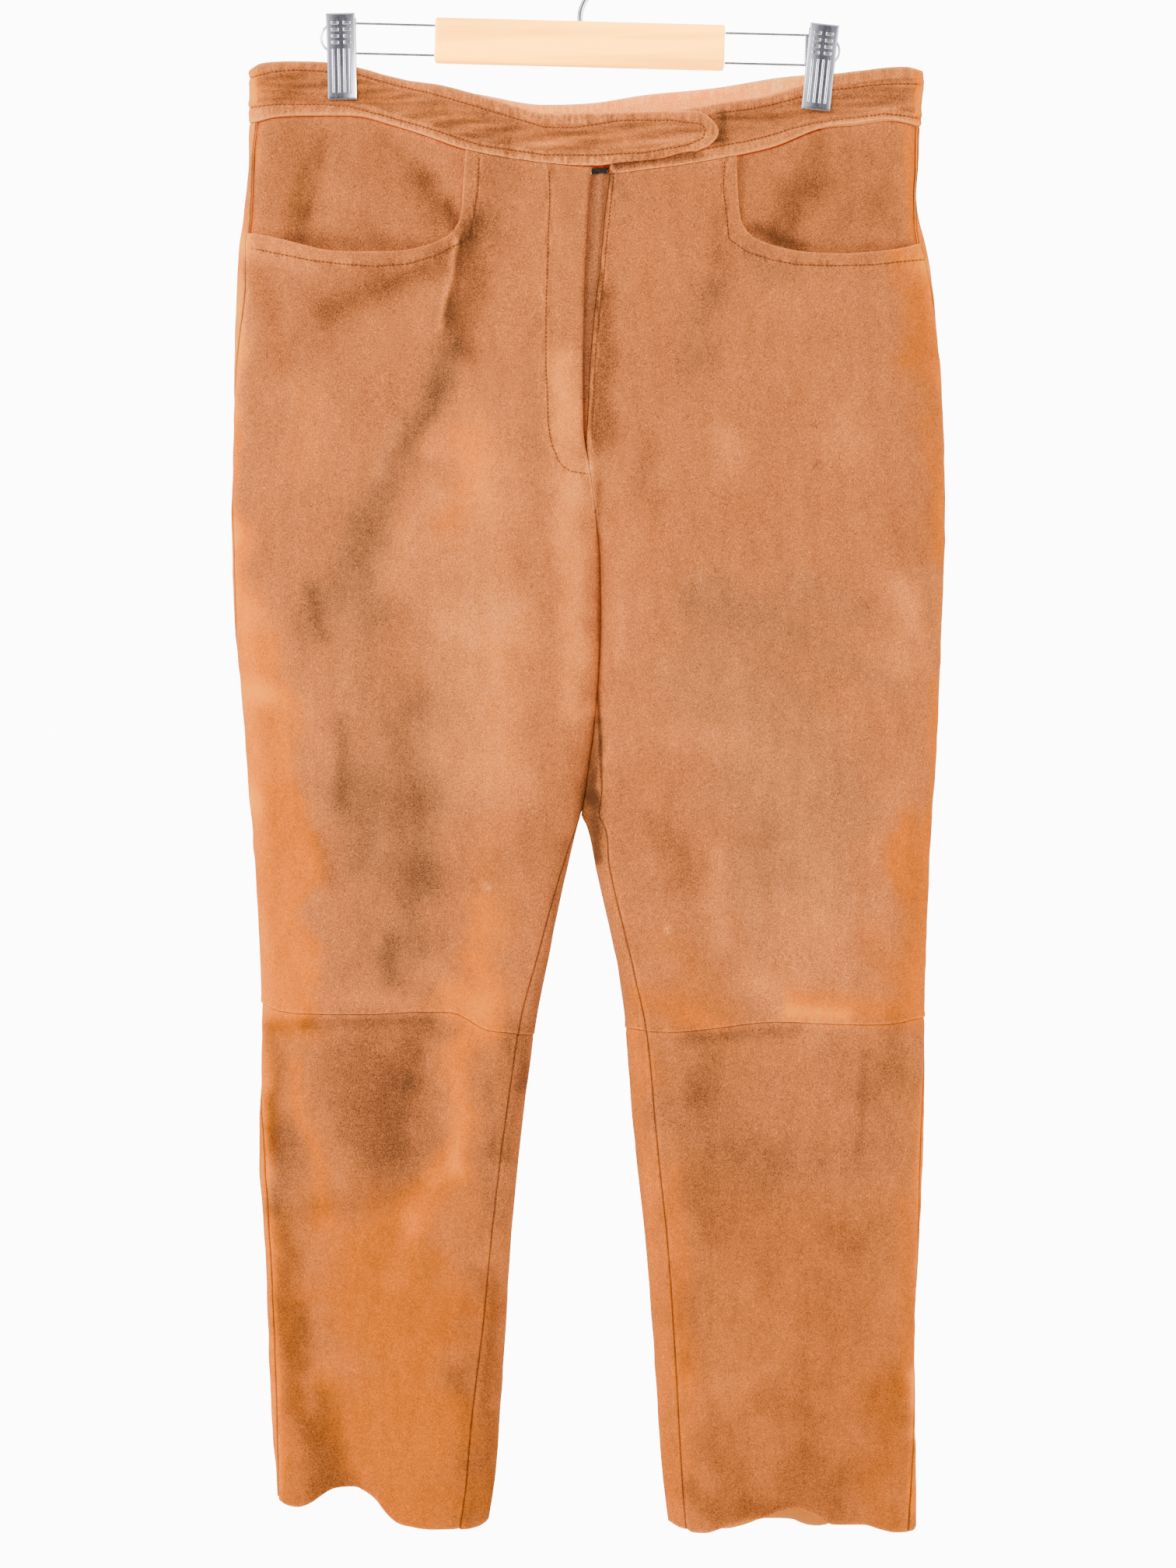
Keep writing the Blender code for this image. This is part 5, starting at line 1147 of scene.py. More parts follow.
@dataclass(frozen=True)
class SuedeFinish:
    """Napped suede: clouded and brushed nap, painted shade in its seams, edges lighter from rubbing and from painted
    highlight, and a paler flesh side.
    """

    name: str = "suede"
    stops: tuple[tuple[float, Triple], ...] = (
        (0.0, (0.095, 0.029, 0.010)), (0.2, (0.200, 0.061, 0.019)), (0.368, (0.380, 0.109, 0.030)),
        (0.5, (0.545, 0.149, 0.036)), (0.632, (0.735, 0.196, 0.040)), (0.8, (0.960, 0.290, 0.062)),
        (1.0, (1.0, 0.430, 0.150)))
    stop_scale: tuple[float, float] = (0.6, 0.2)
    streaks: tuple[float, float] = (0.33, 0.46)
    white: Triple = (1.0, 1.0, 1.0)
    warmer: Triple = (1.12, 0.85, 0.09)
    cooler: Triple = (0.92, 1.04, 1.22)
    seam_shade: Triple = (0.34, 0.34, 0.40)
    groove_shade: Triple = (0.80, 0.78, 0.80)
    flesh: Triple = (1.0, 0.41, 0.08)
    flesh_dark: Triple = (0.98, 0.32, 0.05)
    # Painted light: how strongly the flesh side glows in its own colour.
    flesh_glow: float = 0.0
    cloud: Noise = Noise(24.0, 3.0, 0.6, (1.0, 1.0, 0.55), 0.30)
    brush: Noise = Noise(75.0, 3.0, 0.65, (1.3, 1.0, 0.5), 0.35, 0.0011, 0.2)
    ribs: Noise = Noise(420.0, 1.0, 0.4, (1.0, 1.0, 0.22), 1.3, 0.0018, 0.9)
    fleck: Noise = Noise(260.0, 3.0, 0.65, (1.0, 1.0, 1.0), 0.25, 0.0006, 0.3)
    fibre: Noise = Noise(800.0, 2.0, 0.65, (1.0, 1.0, 1.0), 0.75, 0.0003, 0.6)
    grain: Noise = Noise(1500.0, 2.0, 0.6, (1.0, 1.0, 1.0), 1.9, 0.0002, 0.6)
    # Lighter nap at turned and cut edges: partly rubbed nap, partly painted highlight on the rolled rims.
    rim_wear_and_highlight: tuple[WearAndHighlight, ...] = (WearAndHighlight(2.6, 0.6, 0.14), WearAndHighlight(1.1, 0.2, 0.16))
    seam_wear: tuple[WearAndHighlight, ...] = (WearAndHighlight(5.0, 2.4, 0.06),)
    roughness: float = 0.95
    specular: float = 0.03
    sheen: float = 0.2
    sheen_roughness: float = 0.55
    sheen_tint: Triple = (1.0, 0.45, 0.10)

    def nap(self, nodes: Surface) -> Socket:
        """Adds up the streaks that the mesh carries, with their painted shade and highlight, the noises with their
        bump, and the lighter edges, from rubbing and, at rims, painted highlight.
        """
        rib = nodes.attribute("rib")
        smooth = nodes.spread(nodes.attribute("warm"), 0.0, 0.8, 1.0, 0.55)
        total = nodes.math("MULTIPLY_ADD", nodes.attribute("light"), *self.streaks)
        rows = ((self.cloud, 1.0, 1.0), (self.brush, 1.0, 1.0), (self.ribs, rib, rib), (self.fleck, 1.0, 1.0),
                (self.fibre, 1.0, 1.0), (self.grain, smooth, 1.0))
        for noise, share, raised in rows:
            height = nodes.noise(noise.scale, noise.detail, noise.rough, noise.stretch)
            centred = nodes.math("MULTIPLY", nodes.math("SUBTRACT", height, 0.5), share)
            total = nodes.math("MULTIPLY_ADD", centred, noise.weight, total)
            if noise.high:
                nodes.bump(nodes.math("MULTIPLY", height, raised), noise.high, noise.strength)
        for mark, wears_and_highlights in (("rim", self.rim_wear_and_highlight), ("edge", self.seam_wear)):
            for wear_and_highlight in wears_and_highlights:
                near = nodes.spread(nodes.attribute(mark), wear_and_highlight.start, wear_and_highlight.end)
                total = nodes.math("MULTIPLY_ADD", near, wear_and_highlight.light, total)
        return total

    def make(self) -> Material:
        """Builds the material."""
        nodes = Surface(self.name)
        nap, warm, flesh = self.nap(nodes), nodes.attribute("warm"), nodes.attribute("flesh")
        row = nodes.math("ABSOLUTE", nodes.attribute("row"))
        colour = nodes.ramp(nodes.math("MULTIPLY_ADD", nap, *self.stop_scale), self.stops)
        for near, plain, tint in ((nodes.spread(warm, 0.0, 1.0), self.white, self.warmer),
                                  (nodes.spread(warm, 0.0, -1.0), self.white, self.cooler),
                                  (nodes.spread(nodes.attribute("edge"), 0.1, 1.1), self.seam_shade, self.white),
                                  (nodes.spread(row, 0.2, 1.2), self.groove_shade, self.white)):
            colour = nodes.mix(1.0, colour, nodes.mix(near, plain, tint), "MULTIPLY")
        back = nodes.mix(nodes.spread(nap, 0.3, 0.7), self.flesh_dark, self.flesh)
        # A painted glow of light on the flesh side.
        if self.flesh_glow:
            glow = nodes.math("MULTIPLY", flesh, self.flesh_glow)
            nodes.dress({"Emission Color": back, "Emission Strength": glow})
        return nodes.dress({
            "Base Color": nodes.mix(flesh, colour, back), "Roughness": self.roughness,
            "Specular IOR Level": self.specular, "Sheen Weight": self.sheen,
            "Sheen Roughness": self.sheen_roughness, "Sheen Tint": self.sheen_tint})


@dataclass(frozen=True)
class ThreadFinish:
    """Sewing thread with a slight twist in its colour."""

    name: str = "thread"
    colour: Triple = (0.120, 0.036, 0.012)
    lighter: Triple = (0.162, 0.0486, 0.0162)
    twist_scale: float = 900.0

    def make(self) -> Material:
        """Builds the material."""
        nodes = Surface(self.name)
        twist = nodes.noise(self.twist_scale, 2.0)
        nodes.bump(twist, 0.0002, 0.5)
        return nodes.dress({"Base Color": nodes.mix(twist, self.colour, self.lighter), "Roughness": 0.95,
                            "Specular IOR Level": 0.05})


@dataclass(frozen=True)
class TapeFinish:
    """Black zip tape with a fine woven rib."""

    name: str = "zip_tape"
    colour: Triple = (0.007, 0.006, 0.006)
    lighter: Triple = (0.018, 0.015, 0.015)
    rib: float = 1400.0

    def make(self) -> Material:
        """Builds the material."""
        nodes = Surface(self.name)
        wave = nodes.add("TexWave", {"Vector": nodes.coords["Object"], "Scale": self.rib})["Fac"]
        nodes.bump(wave, 0.0002, 0.6)
        return nodes.dress({"Base Color": nodes.mix(wave, self.colour, self.lighter), "Roughness": 0.85})


@dataclass(frozen=True)
class WoodFinish:
    """Pale planed wood with long grain and a satin coat, and a painted glow of light that makes it as bright as
    daylight does.
    """

    name: str = "pale_wood"
    pale: Triple = (1.0, 0.70, 0.03)
    grain: Triple = (0.80, 0.45, 0.02)
    # Painted light: the emission stands in for daylight on the wood.
    glow: Triple = (1.0, 0.33, 0.0)
    glow_grain: Triple = (0.62, 0.19, 0.0)
    glow_strength: float = 7.6

    def make(self) -> Material:
        """Builds the material."""
        nodes = Surface(self.name)
        pores = nodes.noise(500.0, 3.0, 0.6, (0.05, 1.0, 1.0))
        banded = nodes.spread(nodes.noise(60.0, 5.0, 0.6, (0.06, 1.0, 1.0)), 0.4, 0.68)
        pored = nodes.spread(pores, 0.55, 0.75, 0.0, 0.35)
        nodes.bump(pores, 0.0002, 0.3)
        return nodes.dress({
            "Base Color": nodes.mix(pored, nodes.mix(banded, self.pale, self.grain), self.grain),
            "Emission Color": nodes.mix(banded, self.glow, self.glow_grain),
            "Emission Strength": self.glow_strength, "Roughness": 0.45, "Coat Weight": 0.25,
            "Coat Roughness": 0.3})


@dataclass(frozen=True)
class SteelFinish:
    """Bright plated steel with faint scratches, and a painted dark reflection on its sunk faces."""

    name: str = "bright_steel"
    colour: Triple = (0.80, 0.79, 0.80)
    scratched: Triple = (0.70, 0.69, 0.70)
    # Painted dark reflection on the sunk faces.
    shaded: Triple = (0.34, 0.33, 0.40)

    def make(self) -> Material:
        """Builds the material."""
        nodes = Surface(self.name)
        scratch = nodes.noise(700.0, 4.0, 0.7, (1.0, 1.0, 0.1))
        nodes.bump(scratch, 0.0001, 0.15)
        plated = nodes.mix(scratch, self.colour, self.scratched)
        return nodes.dress({"Base Color": nodes.mix(nodes.attribute("sunk"), plated, self.shaded), "Metallic": 1.0,
                            "Roughness": nodes.spread(scratch, 0.3, 0.8, 0.16, 0.34)})


@dataclass
class Legs:
    """The eight panels of the legs and the two hip pieces behind the pocket mouths."""

    halves: dict[Side, Half]
    tailoring: Tailoring
    suede: Material
    across: float = 2.4
    down: float = 2.8
    hip_drop: float = 2.4
    hip_tuck: float = 16.0
    mouth_lift_least: float = 0.6
    mouth_lift: float = 2.6
    turned_edge: float = 0.45
    turned_reach: float = 9.5
    row_lines: tuple[float, ...] = (7.5, 9.4, 10.4, 11.2, 12.0, 14.0)
    seam_near: float = -160.0
    hip_seam_near: float = -150.0
    back_seam_near: float = -140.0
    knee_near: float = -755.0
    hem_near: float = -1096.0
    fly_foot: float = -370.0
    fly_edge_wide: float = 1.6
    fly_edge_deep: float = 0.7
    inner_wide: float = 100.0
    outer_wide: float = 150.0
    mouth_deep: float = 60.0
    below_mouth: float = 540.0
    upper_wide: float = 235.0
    lower_wide: float = 190.0
    hip_wide: float = 170.0
    hip_deep: float = 90.0
    slit_shade: float = 0.65
    slit_rise: tuple[float, float] = (-620.0, -560.0)
    slit_sink: tuple[float, float] = (-425.0, -405.0)
    press_rise: tuple[float, float] = (-625.0, -605.0)
    press_sink: tuple[float, float] = (-380.0, -368.0)
    press_in: tuple[float, float] = (5.0, 8.0)
    lift_rise: tuple[float, float] = (-30.0, 0.0)
    lift_sink: tuple[float, float] = (0.0, 42.0)
    lift_out: tuple[float, float] = (120.0, 232.0)

    def front_upper(self, half: Half) -> Wall:
        """Cuts the front panel with its pocket scoop left out."""
        side = half.side
        upright, lower = MOUTH[side]
        corner = upright[-1]
        levels = np.clip(half.z, corner.z, None)
        start, end = half.span(Face.FRONT, levels)
        mouth_t = np.array([half.t_at(float(along([(p.z, p.x) for p in upright], z)), float(z)) for z in levels])
        corner_share = (mouth_t - start) / (end - start)
        inner = lines(self.inner_wide, self.across, end=self.row_lines)
        outer = lines(self.outer_wide, self.across)[1:]
        inner_lines = len(inner) - 1
        share_in = np.concatenate([inner, np.ones(len(outer))])
        share_out = np.concatenate([np.zeros(len(inner)), outer])

        def t_of(z: Grid) -> Grid:
            """Gives t of the lines at heights."""
            a, b = half.span(Face.FRONT, z)
            middle = np.interp(z, half.z, corner_share)
            share = middle * share_in + (1 - middle) * share_out
            return a + share * (b - a)

        cols = len(share_in)
        z_seam = half.meet(BAND_FOOT[side], t_of, np.full(cols, self.seam_near), -half.gap)
        z_mouth = half.meet(lower, t_of, np.full(cols, corner.z))
        z_mouth = np.where(np.arange(cols) <= inner_lines, corner.z, z_mouth)
        z_knee = half.meet(KNEE[side, Face.FRONT], t_of, np.full(cols, self.knee_near), 0.5 * half.gap)
        above = lines(self.mouth_deep, self.down)
        below = lines(self.below_mouth, self.down, start=self.row_lines)
        z = np.concatenate([z_seam + (z_mouth - z_seam) * above[:-1, None],
                            z_mouth + (z_knee - z_mouth) * below[:, None]])
        t = np.stack([t_of(row) for row in z])
        rows_above = len(above) - 1
        used = np.ones((len(z) - 1, cols - 1), bool)
        used[:rows_above, inner_lines:] = False
        place = half.place(t, z)
        top, foot, first, last = self.tailoring.edge_distance(place)
        top_seam = np.where(np.arange(cols)[None, :] <= inner_lines, top, FAR)
        on_fly = place[..., 2] > self.fly_foot
        first_seam = np.where(on_fly & (side is Side.RIGHT), FAR, first * self.slit(place[..., 2]))
        rim = np.abs(row_distance([(*upright, *lower[1:])], place[..., 0], place[..., 2]))
        fly_edge = np.where(on_fly, first, FAR)
        # Painted shadow along the fly's folded edges: soft at the right front, a crisp dark line at the left front.
        dark = -0.45 if side is Side.RIGHT else -1.3
        x, z_place = place[..., 0], place[..., 2]
        near = within(along(lower, x) - z_place, self.lift_rise, self.lift_sink)
        lift = near * (self.mouth_lift_least
                       + (self.mouth_lift - self.mouth_lift_least) * ease(np.abs(x), *self.lift_out))
        wall = self.tailoring.wall("front_upper_" + side.value, half, t, z, raised=lift, used=used, rim=rim,
                                   edge=np.minimum(np.minimum(top_seam, first_seam), last), lapped=foot,
                                   pressed=self.pressed(z_place, first),
                                   shade=dark * bell(fly_edge, self.fly_edge_wide))
        turned = self.turned_edge * ease(rim, self.turned_reach + 1.5, self.turned_reach - 1.0)
        rolled = np.clip(1 - np.minimum(rim, fly_edge) / self.fly_edge_wide, 0, 1)
        turned = turned - self.fly_edge_deep * rolled ** 2
        wall.outside += half.normal(t, z) * turned[..., None]
        return wall

    def slit(self, z: Grid) -> Grid:
        """Shortens the marked way to the inner edge where the legs press together, to hold the shade there."""
        return 1 - self.slit_shade * within(z, self.slit_rise, self.slit_sink)

    def pressed(self, z: Grid, inner: Grid) -> Grid:
        """Gives the share by which the inner edge stays flat, at heights where it presses on the other leg."""
        return within(z, self.press_rise, self.press_sink) * (1 - ease(inner, *self.press_in))

    def plain(self, name: str, half: Half, face: Face, head: Sequence[Place], foot: Sequence[Place],
              near: tuple[float, float], head_drop: float, foot_raise: float, lower: bool) -> Wall:
        """Cuts a panel between two edges drawn from the front.

        Args:
            name: The piece's name.
            half: The half that it is cut from.
            face: Front or back.
            head: The upper edge.
            foot: The lower edge.
            near: Heights close to the two edges.
            head_drop: Half or whole gap below the upper edge.
            foot_raise: Half gap above the lower edge.
            lower: Whether it is a lower panel, tucked under at the knee and cut raw at the hem.

        Returns:
            The wall, not yet built.
        """
        share = lines(self.lower_wide if lower else self.upper_wide, self.across)

        def t_of(z: Grid) -> Grid:
            """Gives t of the lines at heights."""
            a, b = half.span(face, z)
            return a + share * (b - a)

        high = half.meet(head, t_of, np.full(len(share), near[0])) - head_drop
        low = half.meet(foot, t_of, np.full(len(share), near[1])) + foot_raise
        z = high + (low - high) * lines(abs(near[1] - near[0]), self.down)[:, None]
        t = t_of(z)
        top, bottom, first, last = self.tailoring.edge_distance(half.place(t, z))
        slit = self.slit(z)
        sides = np.minimum(first, last * slit) if face is Face.BACK else np.minimum(first * slit, last)
        if lower:
            return self.tailoring.wall(name, half, t, z, edge=sides, tucked=top, rim=bottom)
        return self.tailoring.wall(name, half, t, z, edge=np.minimum(sides, top), lapped=bottom,
                                   pressed=self.pressed(z, last))

    def hip_piece(self, half: Half) -> Wall:
        """Cuts the hip piece that shows in the pocket mouth, sunk under the front panel."""
        side = half.side
        upright, lower = MOUTH[side]
        first = half.t_at(side.sign * (abs(upright[0].x) - self.hip_tuck), -190.0)
        last = half.side_of(-180.0) + 0.01
        t = first + (last - first) * lines(self.hip_wide, self.across)
        z_seam = half.meet(BAND_FOOT[side], lambda z: t, np.full(len(t), self.hip_seam_near), -half.gap)
        low = along(lower, half.place(t, np.full(len(t), -215.0))[:, 0]) - self.hip_tuck
        z = z_seam + (low - z_seam) * lines(self.hip_deep, self.down)[:, None]
        t = np.broadcast_to(t, z.shape)
        top = self.tailoring.edge_distance(half.place(t, z))[0]
        wall = self.tailoring.wall("hip_piece_" + side.value, half, t, z, raised=-self.hip_drop, edge=top,
                                   creases=HIP_CREASES)
        wall.tones = HIP_TONES
        return wall

    def build(self) -> dict[str, Piece]:
        """Builds and dresses the panels.

        Returns:
            The objects by name.
        """
        made = {}
        for side, half in self.halves.items():
            gap, half_gap = half.gap, 0.5 * half.gap
            knee, back_knee = KNEE[side, Face.FRONT], KNEE[side, Face.BACK]
            upper, lower = (self.back_seam_near, self.knee_near), (self.knee_near, self.hem_near)
            walls = [
                self.front_upper(half), self.hip_piece(half),
                self.plain("front_lower_" + side.value, half, Face.FRONT, knee, HEM[side, Face.FRONT], lower,
                           half_gap, 0.0, True),
                self.plain("back_upper_" + side.value, half, Face.BACK, BAND_FOOT_BACK, back_knee, upper, gap,
                           half_gap, False),
                self.plain("back_lower_" + side.value, half, Face.BACK, back_knee, HEM[side, Face.BACK], lower,
                           half_gap, 0.0, True)]
            made.update({wall.name: sew(wall, self.suede) for wall in walls})
        return made


@dataclass
class Waistband:
    """The waistband in three pieces, the right front one ending in a round tab over the left."""

    halves: dict[Side, Half]
    tailoring: Tailoring
    suede: Material
    back_suede: Material
    thick: float = 2.4
    joint: float = 0.08
    across: float = 1.5
    down: float = 1.3
    tab_clear: float = 0.42
    roll: float = 1.0
    row_in: float = 7.5
    rib_high: float = 0.5
    rib_pitch: float = 4.4
    groove: float = 0.45
    top_near: float = -110.0
    foot_near: float = -140.0
    tall: float = 36.0
    joint_gap: float = 0.004
    side_long: float = 240.0
    groove_wide: float = 1.2
    swell: float = 0.45
    swell_in: float = 3.2
    swell_wide: float = 1.8
    roll_reach: float = 2.4
    drawn_wide: float = 70.0
    uneven: float = 0.14
    uneven_pitch: float = 13.0
    crease: float = 0.45
    crease_pitch: float = 7.0
    crease_stretch: float = 0.14
    margin_shade: float = 0.45
    rim_shade: float = 0.8
    crease_shade: float = 0.5
    tab_x: float = 80.0
    tab_rise: tuple[float, float] = (-26.0, 16.0)
    creased: float = 0.7

    def grid(self, half: Half, t: Grid, head: Sequence[Place], foot: Sequence[Place]) -> tuple[Grid, Grid]:
        """Lays out a grid of t and z between the two edges of a band."""
        high, low = (half.meet(rows, lambda z: t, np.full(len(t), near))
                     for rows, near in ((head, self.top_near), (foot, self.foot_near)))
        z = high + (low - high) * lines(self.tall, self.down)[:, None]
        return np.broadcast_to(t, z.shape), z

    def surface(self, half: Half, t: Grid, z: Grid) -> tuple[Grid, Grid, Grid]:
        """Gives places, outward directions and lift of band cloth on one half."""
        place = half.place(t, z)
        return place, half.normal(t, z), self.tailoring.shape(place) * self.creased

    def finish(self, name: str, place: Grid, normal: Grid, raised: Grid) -> Wall:
        """Makes a band's wall, with its edges turned, its stitch rows sunk and its top edge drawn into ribs."""
        top, foot, first, last = self.tailoring.edge_distance(place)
        rim = np.minimum(np.minimum(top, foot), np.minimum(first, last) if name != "waistband_back" else FAR)
        x, z = place[..., 0], place[..., 2]
        if name == "waistband_back":
            row = np.minimum(np.abs(top - self.row_in), np.abs(foot - self.row_in))
        else:
            row = row_distance(STITCHES[name], x, z)
        outer = np.clip(1 - top / self.row_in, 0, 1) * np.clip(top / 1.2, 0, 1)
        drawn = 0.45 + 0.55 * bell(x + 10.0, self.drawn_wide) * (place[..., 1] < 0)
        turns = (x + 1.2 * ripple(x, z, 30.0, 21)) / self.rib_pitch
        ribs = self.rib_high * drawn * outer * np.sin(2 * math.pi * turns)
        away = np.abs(row)
        margin = ease(away * np.where(rim < self.row_in + 0.5, 1.0, 0.0), 0.3, 1.6)
        long_crease = ripple(self.crease_stretch * x, z, self.crease_pitch, 27) * ease(away, 1.5, 4.0) * (1 - margin)
        relief = (ribs - self.roll * np.clip(1 - rim / self.roll_reach, 0, 1) ** 2
                  - self.groove * bell(row, self.groove_wide)
                  + self.swell * bell(away - self.swell_in, self.swell_wide)
                  + self.uneven * ripple(x, z, self.uneven_pitch, 23) + self.crease * long_crease)
        inside = place + normal * raised[..., None]
        outside = inside + normal * (self.thick + relief)[..., None]
        # Painted light and shade: lighter margins and a darker middle, a painted highlight on the rims, and painted
        # shade and highlight along the long creases.
        shade = (self.margin_shade * (margin - (1 - margin) * ease(away, 0.8, 3.0))
                 + self.rim_shade * bell(rim, 1.6) + self.crease_shade * long_crease)
        rib = np.clip(drawn * margin + 0.3 * bell(row, 3.0), 0, 1)
        return Wall(name, inside, outside, None, {"rim": rim, "row": row, "rib": rib, "shade": shade})

    def front_at(self, x: Grid, z: Grid) -> tuple[Grid, Grid]:
        """Gives the place and outward direction of the front at x, over the fly too."""
        right, left = self.halves[Side.RIGHT], self.halves[Side.LEFT]
        place, normal = np.zeros((*x.shape, 3)), np.zeros((*x.shape, 3))
        for spot in np.ndindex(x.shape):
            here_x, here_z = float(x[spot]), float(z[spot])
            edge_right, edge_left = right.place(-1.0, here_z), left.place(-1.0, here_z)
            if here_x <= edge_right[0]:
                t = right.t_at(here_x, here_z)
                place[spot], normal[spot] = right.place(t, here_z), right.normal(t, here_z)
            elif here_x >= edge_left[0]:
                t = left.t_at(here_x, here_z)
                place[spot], normal[spot] = left.place(t, here_z), left.normal(t, here_z)
            else:
                share = (here_x - edge_right[0]) / max(float(edge_left[0] - edge_right[0]), 1e-6)
                place[spot] = edge_right * (1 - share) + edge_left * share
                normal[spot] = (0.0, -1.0, 0.0)
        return place, normal

    def right_front(self) -> Wall:
        """Makes the right front band: round its side, over the fly, to the round tab."""
        right = self.halves[Side.RIGHT]
        t = self.joint - self.joint_gap + (-0.86 - self.joint) * lines(250.0, self.across)[:-4]
        t_grid, z_grid = self.grid(right, t, BAND_TOP_RIGHT, BAND_FOOT_RIGHT)
        place, normal, raised = self.surface(right, t_grid, z_grid)
        last_x = float(place[len(place) // 2, -1, 0])
        xs = np.linspace(last_x, self.tab_x, int((self.tab_x - last_x) / self.across) + 1)[1:]
        down = lines(self.tall, self.down)[:, None]
        high, low = along(BAND_TOP_RIGHT, xs), along(BAND_FOOT_RIGHT, xs)
        tab_x = np.concatenate([xs, [row.x for row in TAB_END]])
        high = np.concatenate([high, [row.high for row in TAB_END]])
        low = np.concatenate([low, [row.low for row in TAB_END]])
        z_tab = high + (low - high) * down
        x_tab = np.broadcast_to(tab_x, z_tab.shape)
        tab_place, tab_normal = self.front_at(x_tab, z_tab)
        under = self.thick + self.tab_clear
        tab_raised = under * ease(x_tab, *self.tab_rise) + self.tailoring.shape(tab_place) * self.creased
        return self.finish("waistband_right", np.concatenate([place, tab_place], axis=1),
                           np.concatenate([normal, tab_normal], axis=1),
                           np.concatenate([raised, tab_raised], axis=1))

    def left_front(self) -> Wall:
        """Makes the left front band, whose end lies under the tab."""
        left = self.halves[Side.LEFT]
        first = self.joint - self.joint_gap
        t = first + (-1.0 - first) * lines(self.side_long, self.across)
        grid = self.grid(left, t, BAND_TOP_LEFT, BAND_FOOT_LEFT)
        return self.finish("waistband_left", *self.surface(left, *grid))

    def back(self) -> Wall:
        """Makes the back band from side to side."""
        parts = []
        for side, order in ((Side.RIGHT, 1), (Side.LEFT, -1)):
            half = self.halves[side]
            first = self.joint + self.joint_gap
            t = first + (1.0 - first) * lines(self.side_long, self.across)
            surface = self.surface(half, *self.grid(half, t, BAND_TOP_BACK, BAND_FOOT_BACK))
            parts.append([grid[:, ::order] for grid in surface])
        joined = [np.concatenate([a[:, :-1], b], axis=1) for a, b in zip(*parts)]
        return self.finish("waistband_back", *joined)

    def build(self) -> dict[str, Piece]:
        """Builds and dresses the bands, and returns the objects by name."""
        made = {wall.name: sew(wall, self.suede) for wall in (self.right_front(), self.left_front())}
        made["waistband_back"] = sew(self.back(), self.back_suede)
        return made


